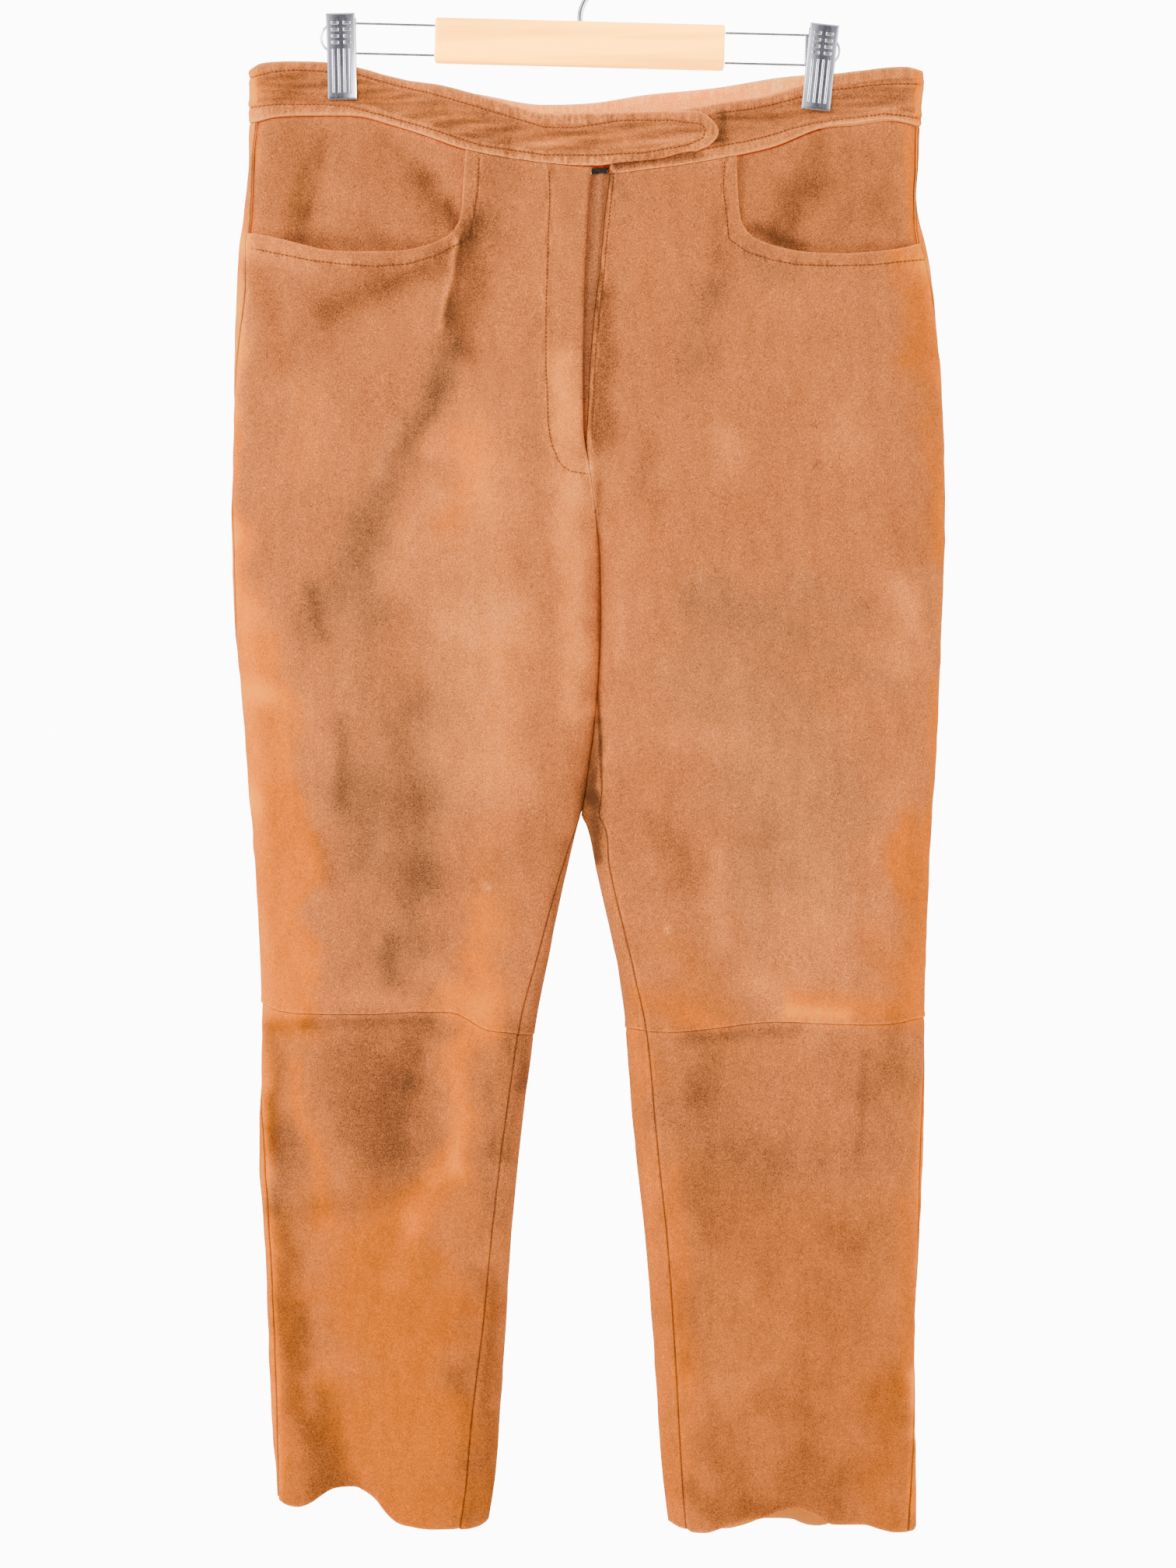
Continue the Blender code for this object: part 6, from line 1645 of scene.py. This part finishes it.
@dataclass
class Fly:
    """What shows in the open fly: the shield, the zip's tape, teeth and top stop, and a thread eye."""

    band: Waistband
    suede: Material
    tape: Material
    steel: Material
    thread: Material
    gap: float = 0.3
    panel: float = 1.6
    tape_thick: float = 1.0
    shield_wide: float = 34.0
    shield_foot_wide: float = 20.0
    top: float = -166.6
    shield_foot: float = -370.0
    shield_narrows: tuple[float, float] = (-340.0, -372.0)
    clear: float = 0.3
    ridge_high: float = 0.45
    tape_foot: float = -350.0
    tape_wide: float = 16.0
    tape_in: float = 1.0
    tape_end: float = 12.5
    tape_crosses: tuple[float, float] = (-171.4, -168.8)
    fray_out: tuple[float, float] = (8.0, 10.0)
    fray_up: tuple[float, float] = (-172.0, -168.0)
    fray_long: float = 0.9
    fray_deep: float = 0.35
    teeth: int = 62
    teeth_ends: tuple[float, float] = (-178.0, -346.0)
    tooth_in: float = 2.4
    tooth_behind: float = 0.12

    def strip(self, name: str, left: Grid, right: Grid, heights: Grid, drop: float, thick: float, across: float
              ) -> Wall:
        """Makes a strip behind the fly between two edges.

        Args:
            name: The piece's name.
            left: X of its one edge at each height.
            right: X of its other edge.
            heights: The heights.
            drop: How far its face lies behind the front.
            thick: Its thickness.
            across: Spacing of the grid.

        Returns:
            The wall, not yet built.
        """
        cols = max(6, int((right - left).max() / across))
        x = left[:, None] + (right - left)[:, None] * np.linspace(0, 1, cols)
        z = np.broadcast_to(heights[:, None], x.shape)
        place, _ = self.band.front_at(x, z)
        uneven = 0.7 + 0.3 * np.sin(z / 31.0 + 1.0)
        ridge = self.ridge_high * np.sin(x / 1.6 + 1.5 * np.sin(z / 23.0)) * uneven
        flat = np.zeros_like(x)
        inside = place + np.stack([flat, flat + drop, flat], axis=-1)
        outside = inside - np.stack([flat, thick + ridge * (thick > self.tape_thick), flat], axis=-1)
        return Wall(name, inside, outside)

    def edge_x(self, side: Side, heights: Grid) -> Grid:
        """Gives x of a front's folded edge at heights."""
        return column(OUTLINE, side.value + "_in", heights)

    def shield(self) -> Wall:
        """Makes the shield, which narrows at its foot."""
        heights = np.concatenate([[self.top], np.arange(-168.0, self.shield_foot, -2.6), [self.shield_foot]])
        wide = self.shield_wide - (self.shield_wide - self.shield_foot_wide) * ease(heights, *self.shield_narrows)
        middle = 0.5 * (self.edge_x(Side.RIGHT, heights) + self.edge_x(Side.LEFT, heights))
        drop = self.clear + 2 * self.gap + self.tape_thick + self.panel
        wall = self.strip("fly_shield", middle - 0.5 * wide, middle + 0.5 * wide, heights, drop, self.panel, 1.2)
        wall.tones = SHIELD_TONES
        return wall

    def zip_tape(self) -> Wall:
        """Makes the zip tape: under the right front, with its end drawn across the gap and frayed."""
        heights = np.concatenate([np.linspace(self.top, -176.0, 26), np.arange(-179.0, self.tape_foot, -3.0),
                                  [self.tape_foot]])
        edge_x = self.edge_x(Side.RIGHT, heights)
        cross = ease(heights, *self.tape_crosses)
        right = edge_x - self.tape_in + self.tape_end * cross + 0.6 * cross * np.sin(heights * 4.0)
        wall = self.strip("zip_tape", edge_x - self.tape_wide, right, heights,
                          self.clear + self.gap + self.tape_thick, self.tape_thick, 0.6)
        x = wall.outside[..., 0]
        frayed = ease(x, *self.fray_out) * ease(heights, *self.fray_up)[:, None]
        for sheet in (wall.inside, wall.outside):
            sheet[..., 2] += frayed * self.fray_long * np.sin(x * 3.1 + 1.3 * np.sin(x * 1.7))
        wall.outside[..., 1] -= frayed * self.fray_deep * np.sin(x * 4.3) * np.sin(heights * 5.0)[:, None]
        return wall

    def zip_teeth(self) -> Piece:
        """Models one tooth and copies it down the tape's edge."""
        heights = np.linspace(*self.teeth_ends, self.teeth)
        edge_x = self.edge_x(Side.RIGHT, heights)
        place, _ = self.band.front_at(edge_x[:, None] - self.tooth_in, heights[:, None])
        behind = np.array([0.0, self.gap + self.tooth_behind, 0.0])
        return copies("zip_teeth", model_tooth(), [(spot + behind, np.eye(3)) for spot in place[:, 0]], self.steel)

    def before(self, x: float, z: float, clear: float) -> Grid:
        """Gives a place a little before the front, in metres."""
        spot, _ = self.band.front_at(np.array([[x]]), np.array([[z]]))
        return spot[0, 0] * MM + np.array([0.0, -clear * MM, 0.0])

    def eye(self) -> Piece:
        """Makes the small thread eye at the left front's corner."""
        start(bpy.ops.mesh.primitive_torus_add, major_segments=28, minor_segments=8, major_radius=1.5 * MM,
              minor_radius=0.34 * MM, location=self.before(20.2, -169.8, 2.2),
              rotation=(math.radians(84), math.radians(8), 0.0))
        return placed("hook_eye", self.thread)

    def stop(self) -> Piece:
        """Makes the top stop of the zip, a small block beside the fly's edge."""
        bevelled(block((0.9, 0.9, 1.5), self.before(7.6, -170.4, 0.6)), 0.22, 2)
        return placed("zip_stop", self.steel)

    def build(self) -> None:
        """Builds and dresses the fly's pieces."""
        sew(self.shield(), self.suede, "suede_shield")
        sew(self.zip_tape(), self.tape, "zip_tape")
        for obj, slot in ((self.zip_teeth(), "steel"), (self.stop(), "steel"), (self.eye(), "suede")):
            adopt(obj, slot)


def start(primitive: Callable, **sizes: float | Sequence[float] | str) -> Piece:
    """Adds one of Blender's primitives, with nothing else selected, and returns it."""
    bpy.ops.object.select_all(action="DESELECT")
    primitive(**sizes)
    return bpy.context.active_object


def block(size: Triple, place: Sequence[float] = (0.0, 0.0, 0.0), lean: float = 0.0) -> Piece:
    """Adds a block of a size in millimetres at a place in metres, leaned about X."""
    obj = start(bpy.ops.mesh.primitive_cube_add, size=1.0, location=place, rotation=(lean, 0.0, 0.0))
    obj.scale = [side * MM for side in size]
    return obj


def pick(obj: Piece, wanted: Callable[[Vector], bool]) -> None:
    """Selects the faces whose normals are wanted, in edit mode."""
    bpy.ops.object.mode_set(mode="EDIT")
    bpy.ops.mesh.select_mode(type="FACE")
    bpy.ops.mesh.select_all(action="DESELECT")
    bpy.ops.object.mode_set(mode="OBJECT")
    for face in obj.data.polygons:
        face.select = wanted(face.normal)
    bpy.ops.object.mode_set(mode="EDIT")


def bevelled(obj: Piece, wide: float, segments: int = 1) -> Piece:
    """Bevels every edge of a shape, and returns it."""
    pick(obj, lambda normal: True)
    bpy.ops.mesh.bevel(offset=wide * MM, segments=segments, affect="EDGES")
    bpy.ops.object.mode_set(mode="OBJECT")
    return obj


def rounded(obj: Piece, wide: float, segments: int) -> Piece:
    """Rounds an object's sharp edges, and returns it."""
    rounding = obj.modifiers.new("edges", "BEVEL")
    rounding.width = wide * MM
    rounding.segments = segments
    rounding.limit_method = "ANGLE"
    bpy.ops.object.modifier_apply(modifier=rounding.name)
    return obj


def settle() -> Piece:
    """Puts the active object's place, turn and size in its mesh, and returns it."""
    bpy.ops.object.transform_apply(location=True, rotation=True, scale=True)
    return bpy.context.active_object


def placed(name: str, material: Material) -> Piece:
    """Names the active object, puts its place in its mesh, smooths it and gives it a material."""
    obj = bpy.context.active_object
    obj.name = obj.data.name = name
    settle()
    bpy.ops.object.shade_smooth_by_angle(angle=math.radians(35))
    obj.data.materials.clear()
    obj.data.materials.append(material)
    return obj


def taken(obj: Piece) -> Model:
    """Reads a modelled object's points, in millimetres, and its faces, and removes it."""
    points = np.array([vertex.co[:] for vertex in obj.data.vertices]) / MM
    faces = [list(face.vertices) for face in obj.data.polygons]
    bpy.data.objects.remove(obj)
    return points, faces


def model_tooth() -> Model:
    """Models one zip tooth about the origin: a small block with its edges broken."""
    bevelled(block((2.6, 1.3, 1.2)), 0.25)
    return taken(settle())


def model_stitch(long: float, wide: float) -> Model:
    """Models one stitch of thread about the origin, along Z: a short rod with its edges cut off.

    Args:
        long: Its length.
        wide: The thread's thickness.

    Returns:
        Its points in millimetres and its faces.
    """
    obj = start(bpy.ops.mesh.primitive_cylinder_add, vertices=6, radius=0.5 * wide * MM, depth=long * MM,
                end_fill_type="NGON")
    return taken(bevelled(obj, 0.22 * wide))


def new_piece(name: str, points: Grid, faces: list) -> Piece:
    """Makes a smooth object of points in millimetres and faces."""
    mesh = bpy.data.meshes.new(name)
    mesh.from_pydata((points * MM).tolist(), [], faces)
    mesh.shade_smooth()
    obj = bpy.data.objects.new(name, mesh)
    bpy.context.scene.collection.objects.link(obj)
    return obj


def copies(name: str, model: Model, spots: Sequence[tuple[Grid, Grid]], material: Material) -> Piece:
    """Copies a modelled shape to many places, all in one mesh.

    Args:
        name: The new object's name.
        model: Points in millimetres and faces of the shape.
        spots: A place, and the three directions that X, Y and Z take there, for each copy.
        material: The finish.

    Returns:
        The new object.
    """
    points, faces = model
    all_points = np.concatenate([spot + points @ turn for spot, turn in spots])
    all_faces = [[corner + k * len(points) for corner in face] for k in range(len(spots)) for face in faces]
    obj = new_piece(name, all_points, all_faces)
    obj.data.materials.append(material)
    return obj


@dataclass
class Stitching:
    """Rows of thread on the sewn pieces, one stitch after another in the grooves."""

    cloth: dict[str, Piece]
    thread: Material
    pitch: float = 2.9
    long: float = 1.8
    wide: float = 0.75
    sunk: float = -0.02
    sample: float = 0.4
    back_row_in: float = 7.5
    back_row: Triple = (-226.0, 235.0, 4.0)
    ray_from: float = 0.3
    least_out: float = 0.12
    first: float = 0.4

    def lay(self, tree: BVHTree, path: Grid, face: Face) -> list[tuple[Grid, Grid]]:
        """Lays stitches along a line of one face.

        Args:
            tree: The piece's own faces.
            path: The line, as rows of x and z.
            face: The face that it lies on.

        Returns:
            Each stitch's place and directions.
        """
        steps = np.concatenate([[0.0], np.cumsum(np.linalg.norm(np.diff(path, axis=0), axis=1))])
        at = np.arange(0.0, steps[-1], self.sample)
        xs, zs = np.interp(at, steps, path[:, 0]), np.interp(at, steps, path[:, 1])
        hits, outs = [], []
        for x, z in zip(xs, zs):
            hit, out, _, _ = tree.ray_cast(Vector((x * MM, face.sign * self.ray_from, z * MM)),
                                           Vector((0, -face.sign, 0)))
            if hit is not None and out.y * face.sign > self.least_out:
                hits.append(np.array(hit) / MM)
                outs.append(np.array(out))
        if len(hits) < 2:
            return []
        hits, outs = np.array(hits), np.array(outs)
        way = np.concatenate([[0.0], np.cumsum(np.linalg.norm(np.diff(hits, axis=0), axis=1))])
        spots = []
        for begin in np.arange(self.first, way[-1] - self.long, self.pitch):
            ends = [np.array([np.interp(s, way, hits[:, k]) for k in range(3)]) for s in (begin, begin + self.long)]
            run = ends[1] - ends[0]
            long = np.linalg.norm(run)
            if long < 0.5 * self.long:
                continue
            run /= long
            out = np.array([np.interp(begin + 0.5 * self.long, way, outs[:, k]) for k in range(3)])
            out -= run * out.dot(run)
            out /= np.linalg.norm(out)
            spots.append((0.5 * (ends[0] + ends[1]) - out * self.sunk, np.stack([np.cross(out, run), out, run])))
        return spots

    def build(self) -> None:
        """Sews all rows, one object of thread for each piece."""
        model = model_stitch(self.long, self.wide)
        xs = np.arange(*self.back_row)
        back = [np.stack([xs, along(rows, xs) + shift], axis=1)
                for rows, shift in ((BAND_TOP_BACK, -self.back_row_in), (BAND_FOOT_BACK, self.back_row_in))]
        sewn = [(node, [np.array([(p.x, p.z) for p in row]) for row in rows], Face.FRONT)
                for node, rows in STITCHES.items()]
        for node, paths, face in (*sewn, ("waistband_back", back, Face.BACK)):
            tree = self.tree(node)
            spots = [spot for path in paths for spot in self.lay(tree, path, face)]
            adopt(copies("stitches_" + node, model, spots, self.thread), "suede")

    def tree(self, node: str) -> BVHTree:
        """Makes a search tree of a piece's faces."""
        mesh = self.cloth[node].data
        return BVHTree.FromPolygons([vertex.co for vertex in mesh.vertices],
                                    [face.vertices for face in mesh.polygons])


@dataclass
class Jaws:
    """The two ribbed steel jaws of one clip."""

    side: Side
    steel: Material
    wide: float = 20.0
    thick: float = 1.1
    inner: float = 3.03
    rib_long: float = 31.0
    rib_foot: float = 3.6
    rib_pitch: float = 3.9
    rib_wide: float = 1.9
    rib_high: float = 1.5
    ribs: int = 4
    dash_foot: float = 38.6
    dash_step: float = 4.4
    dash_size: Triple = (5.6, 1.5, 2.7)
    dash_out: float = 4.2
    dashes: int = 4
    tall: float = 24.0
    middle: float = 14.0
    rim_wide: float = 1.0
    rim_high: float = 0.45
    bends: tuple = ((1.0, ((-1.0, 20.0), (-4.0, 12.0))), (-1.0, ((-0.9, -3.2),)))
    outer_face: tuple = ((2.0, 26.0, 46.0, 58.0), (0.0, 0.0, 1.0, 5.0))

    def plate(self) -> Piece:
        """Models the plate: a block drawn up in two bends and down in one, sunk outside between raised rims."""
        place = (0, -(self.inner + 0.5 * self.thick) * MM, self.middle * MM)
        block((self.wide, self.thick, self.tall), place)
        obj = settle()
        for up, steps in self.bends:
            for y, z in steps:
                pick(obj, lambda normal: normal.z * up > 0.6)
                bpy.ops.mesh.extrude_region_move(TRANSFORM_OT_translate={"value": (0.0, y * MM, z * MM)})
                bpy.ops.object.mode_set(mode="OBJECT")
        pick(obj, lambda normal: normal.y < -0.75)
        bpy.ops.mesh.inset(thickness=self.rim_wide * MM, depth=-self.rim_high * MM)
        bpy.ops.object.mode_set(mode="OBJECT")
        # The sunk faces carry the mark for the steel's painted dark reflection.
        sunk = obj.data.attributes.new("sunk", "FLOAT", "FACE")
        sunk.data.foreach_set("value", [float(face.select) for face in obj.data.polygons])
        return rounded(obj, 0.22, 2)

    def depth_at(self, height: float) -> float:
        """Gives y of the sunk outer face at a height."""
        out = float(np.interp(height, *self.outer_face))
        return -(self.inner + self.thick + out - self.rim_high)

    def raised(self, size: Triple, x: float, z: float, lean: float) -> Piece:
        """Models one rounded rib or dash on the outer face."""
        obj = block(size, (x * MM, self.depth_at(z) * MM, z * MM), lean)
        bpy.ops.object.transform_apply(location=False, rotation=False, scale=True)
        return rounded(obj, 0.42 * min(size), 3)

    def build(self) -> None:
        """Builds both jaws, leaned as the clip leans."""
        clip = CLIPS[self.side]
        for face in Face:
            pieces = [self.plate()]
            for k in range(self.ribs):
                x = (k - 0.5 * (self.ribs - 1)) * self.rib_pitch
                pieces.append(self.raised((self.rib_wide, self.rib_high, self.rib_long), x,
                                          self.rib_foot + 0.5 * self.rib_long, 0.0))
            for k in range(self.dashes):
                z = self.dash_foot + k * self.dash_step
                lean = math.atan2(self.depth_at(z) - self.depth_at(z + 1.0), 1.0)
                pieces += [self.raised(self.dash_size, x, z, lean) for x in (-self.dash_out, self.dash_out)]
            bpy.ops.object.select_all(action="DESELECT")
            for piece in pieces:
                piece.select_set(True)
            bpy.context.view_layer.objects.active = pieces[0]
            bpy.ops.object.join()
            obj = bpy.context.active_object
            obj.rotation_euler = (0.0, -face.sign * math.radians(clip.lean), 0.0 if face is Face.FRONT else math.pi)
            obj.location = (clip.x * MM, 0.0, clip.bottom * MM)
            node = f"clip_{self.side.value}_{face.value}"
            adopt(placed(node + "_jaw", self.steel), "steel", node)


@dataclass
class Hanger:
    """The hanger's bar, wires, hook and clip cores, which keep their CAD form."""

    wood: Material
    steel: Material

    def build(self) -> None:
        """Gives each CAD node of the hanger its finish."""
        finishes = {"hanger_bar": self.wood, "hanger_hook": self.steel}
        for side in Side:
            finishes["hanger_wire_" + side.value] = self.steel
            finishes[f"clip_{side.value}_core"] = self.steel
        for node, material in finishes.items():
            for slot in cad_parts[node].material_slots:
                slot.material = material
            LOG.info("%s: %s", node, material.name)


class Lamp(NamedTuple):
    """A square soft light that faces the garment."""

    name: str
    place: Triple
    size: float
    power: float


@dataclass
class Studio:
    """Camera, lights and floor."""

    centre: Triple = (0.00567, 0.0, -0.59066)
    distance: float = 2.6
    frame_tall: float = 1.0886
    floor_z: float = -1.5
    floor_radius: float = 1.4
    lamps: tuple[Lamp, ...] = (
        Lamp("key", (-1.9, -2.1, 0.9), 1.6, 88.0), Lamp("fill", (1.9, -2.2, -0.4), 2.0, 24.0),
        Lamp("left", (-2.4, -0.5, -0.4), 1.6, 46.0), Lamp("right", (2.4, -0.5, -0.4), 1.6, 42.0),
        Lamp("back", (0.6, 2.6, 0.6), 2.0, 75.0))
    ambient: float = 0.8
    backdrop: float = 12.0
    shine: float = 3.2
    shine_rows: tuple[tuple[float, float], ...] = (
        (0.0, 0.25), (0.12, 0.9), (0.26, 1.0), (0.38, 0.14), (0.5, 0.08), (0.6, 0.12), (0.7, 0.75), (0.84, 0.9),
        (1.0, 0.2))

    def build(self) -> None:
        """Sets up the photograph's view, soft light and a pale floor."""
        camera = bpy.data.objects.new("camera", bpy.data.cameras.new("camera"))
        camera.data.sensor_width = 36.0
        camera.data.lens = camera.data.sensor_width * self.distance / self.frame_tall
        camera.data.clip_end = 60.0
        camera.location = Vector(self.centre) + Vector((0.0, -self.distance, 0.0))
        camera.rotation_euler = (math.radians(90), 0.0, 0.0)
        bpy.context.scene.collection.objects.link(camera)
        bpy.context.scene.camera = camera
        for lamp in self.lamps:
            self.light(lamp)
        floor = start(bpy.ops.mesh.primitive_circle_add, vertices=96, radius=self.floor_radius, fill_type="NGON",
                      location=(0, 0, self.floor_z))
        floor.name = "floor"
        settle()
        nodes = Surface("floor")
        colour = nodes.mix(nodes.noise(3.0), (0.80, 0.80, 0.80), (0.84, 0.84, 0.84))
        floor.data.materials.append(nodes.dress({"Base Color": colour, "Roughness": 0.9}))
        self.surroundings()

    def surroundings(self) -> None:
        """Sets up a white world: even for lighting, brighter behind, and in bright and dark bands for the steel."""
        world = bpy.data.worlds.new("world")
        bpy.context.scene.world = world
        world.use_nodes = True
        nodes = Nodes(world.node_tree)
        split = nodes.add("SeparateXYZ", {"Vector": nodes.coords["Generated"]})
        across = nodes.spread(split["X"], -1.0, 1.0, curve="LINEAR")
        bands = nodes.ramp(across, [(at, (level, level, level)) for at, level in self.shine_rows])
        path = nodes.add("LightPath", {})
        strength = nodes.choose(path["Is Glossy Ray"], self.ambient, nodes.math("MULTIPLY", bands, self.shine))
        background = nodes.tree.nodes["Background"].inputs
        nodes.give(background["Color"], (1.0, 1.0, 1.0))
        nodes.give(background["Strength"], nodes.choose(path["Is Camera Ray"], strength, self.backdrop))

    def light(self, row: Lamp) -> None:
        """Adds a lamp."""
        lamp = bpy.data.lights.new(row.name, "AREA")
        lamp.size = row.size
        lamp.energy = row.power
        obj = bpy.data.objects.new(row.name, lamp)
        obj.location = row.place
        obj.rotation_euler = (Vector(self.centre) - Vector(row.place)).to_track_quat("-Z", "Y").to_euler()
        bpy.context.scene.collection.objects.link(obj)


def main() -> None:
    """Builds and dresses every piece."""
    logging.basicConfig(level=logging.INFO, format="%(message)s")
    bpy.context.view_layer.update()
    halves = {side: Half(side) for side in Side}
    tailoring = Tailoring()
    suede = SuedeFinish().make()
    # The back band's flesh side glows with painted light, which lifts it out of the front band's shade.
    back_suede = SuedeFinish(name="suede_back_band", flesh=(1.0, 0.45, 0.11), flesh_dark=(0.82, 0.24, 0.03),
                             flesh_glow=0.95).make()
    shield_suede = SuedeFinish(name="suede_shield", cooler=(0.93, 1.04, 1.35)).make()
    thread, steel = ThreadFinish().make(), SteelFinish().make()
    cloth = Legs(halves, tailoring, suede).build()
    band = Waistband(halves, tailoring, suede, back_suede)
    cloth.update(band.build())
    Fly(band, shield_suede, TapeFinish().make(), steel, thread).build()
    Stitching(cloth, thread).build()
    for side in Side:
        Jaws(side, steel).build()
    Hanger(WoodFinish().make(), steel).build()
    Studio().build()


if __name__ == "__main__":
    main()
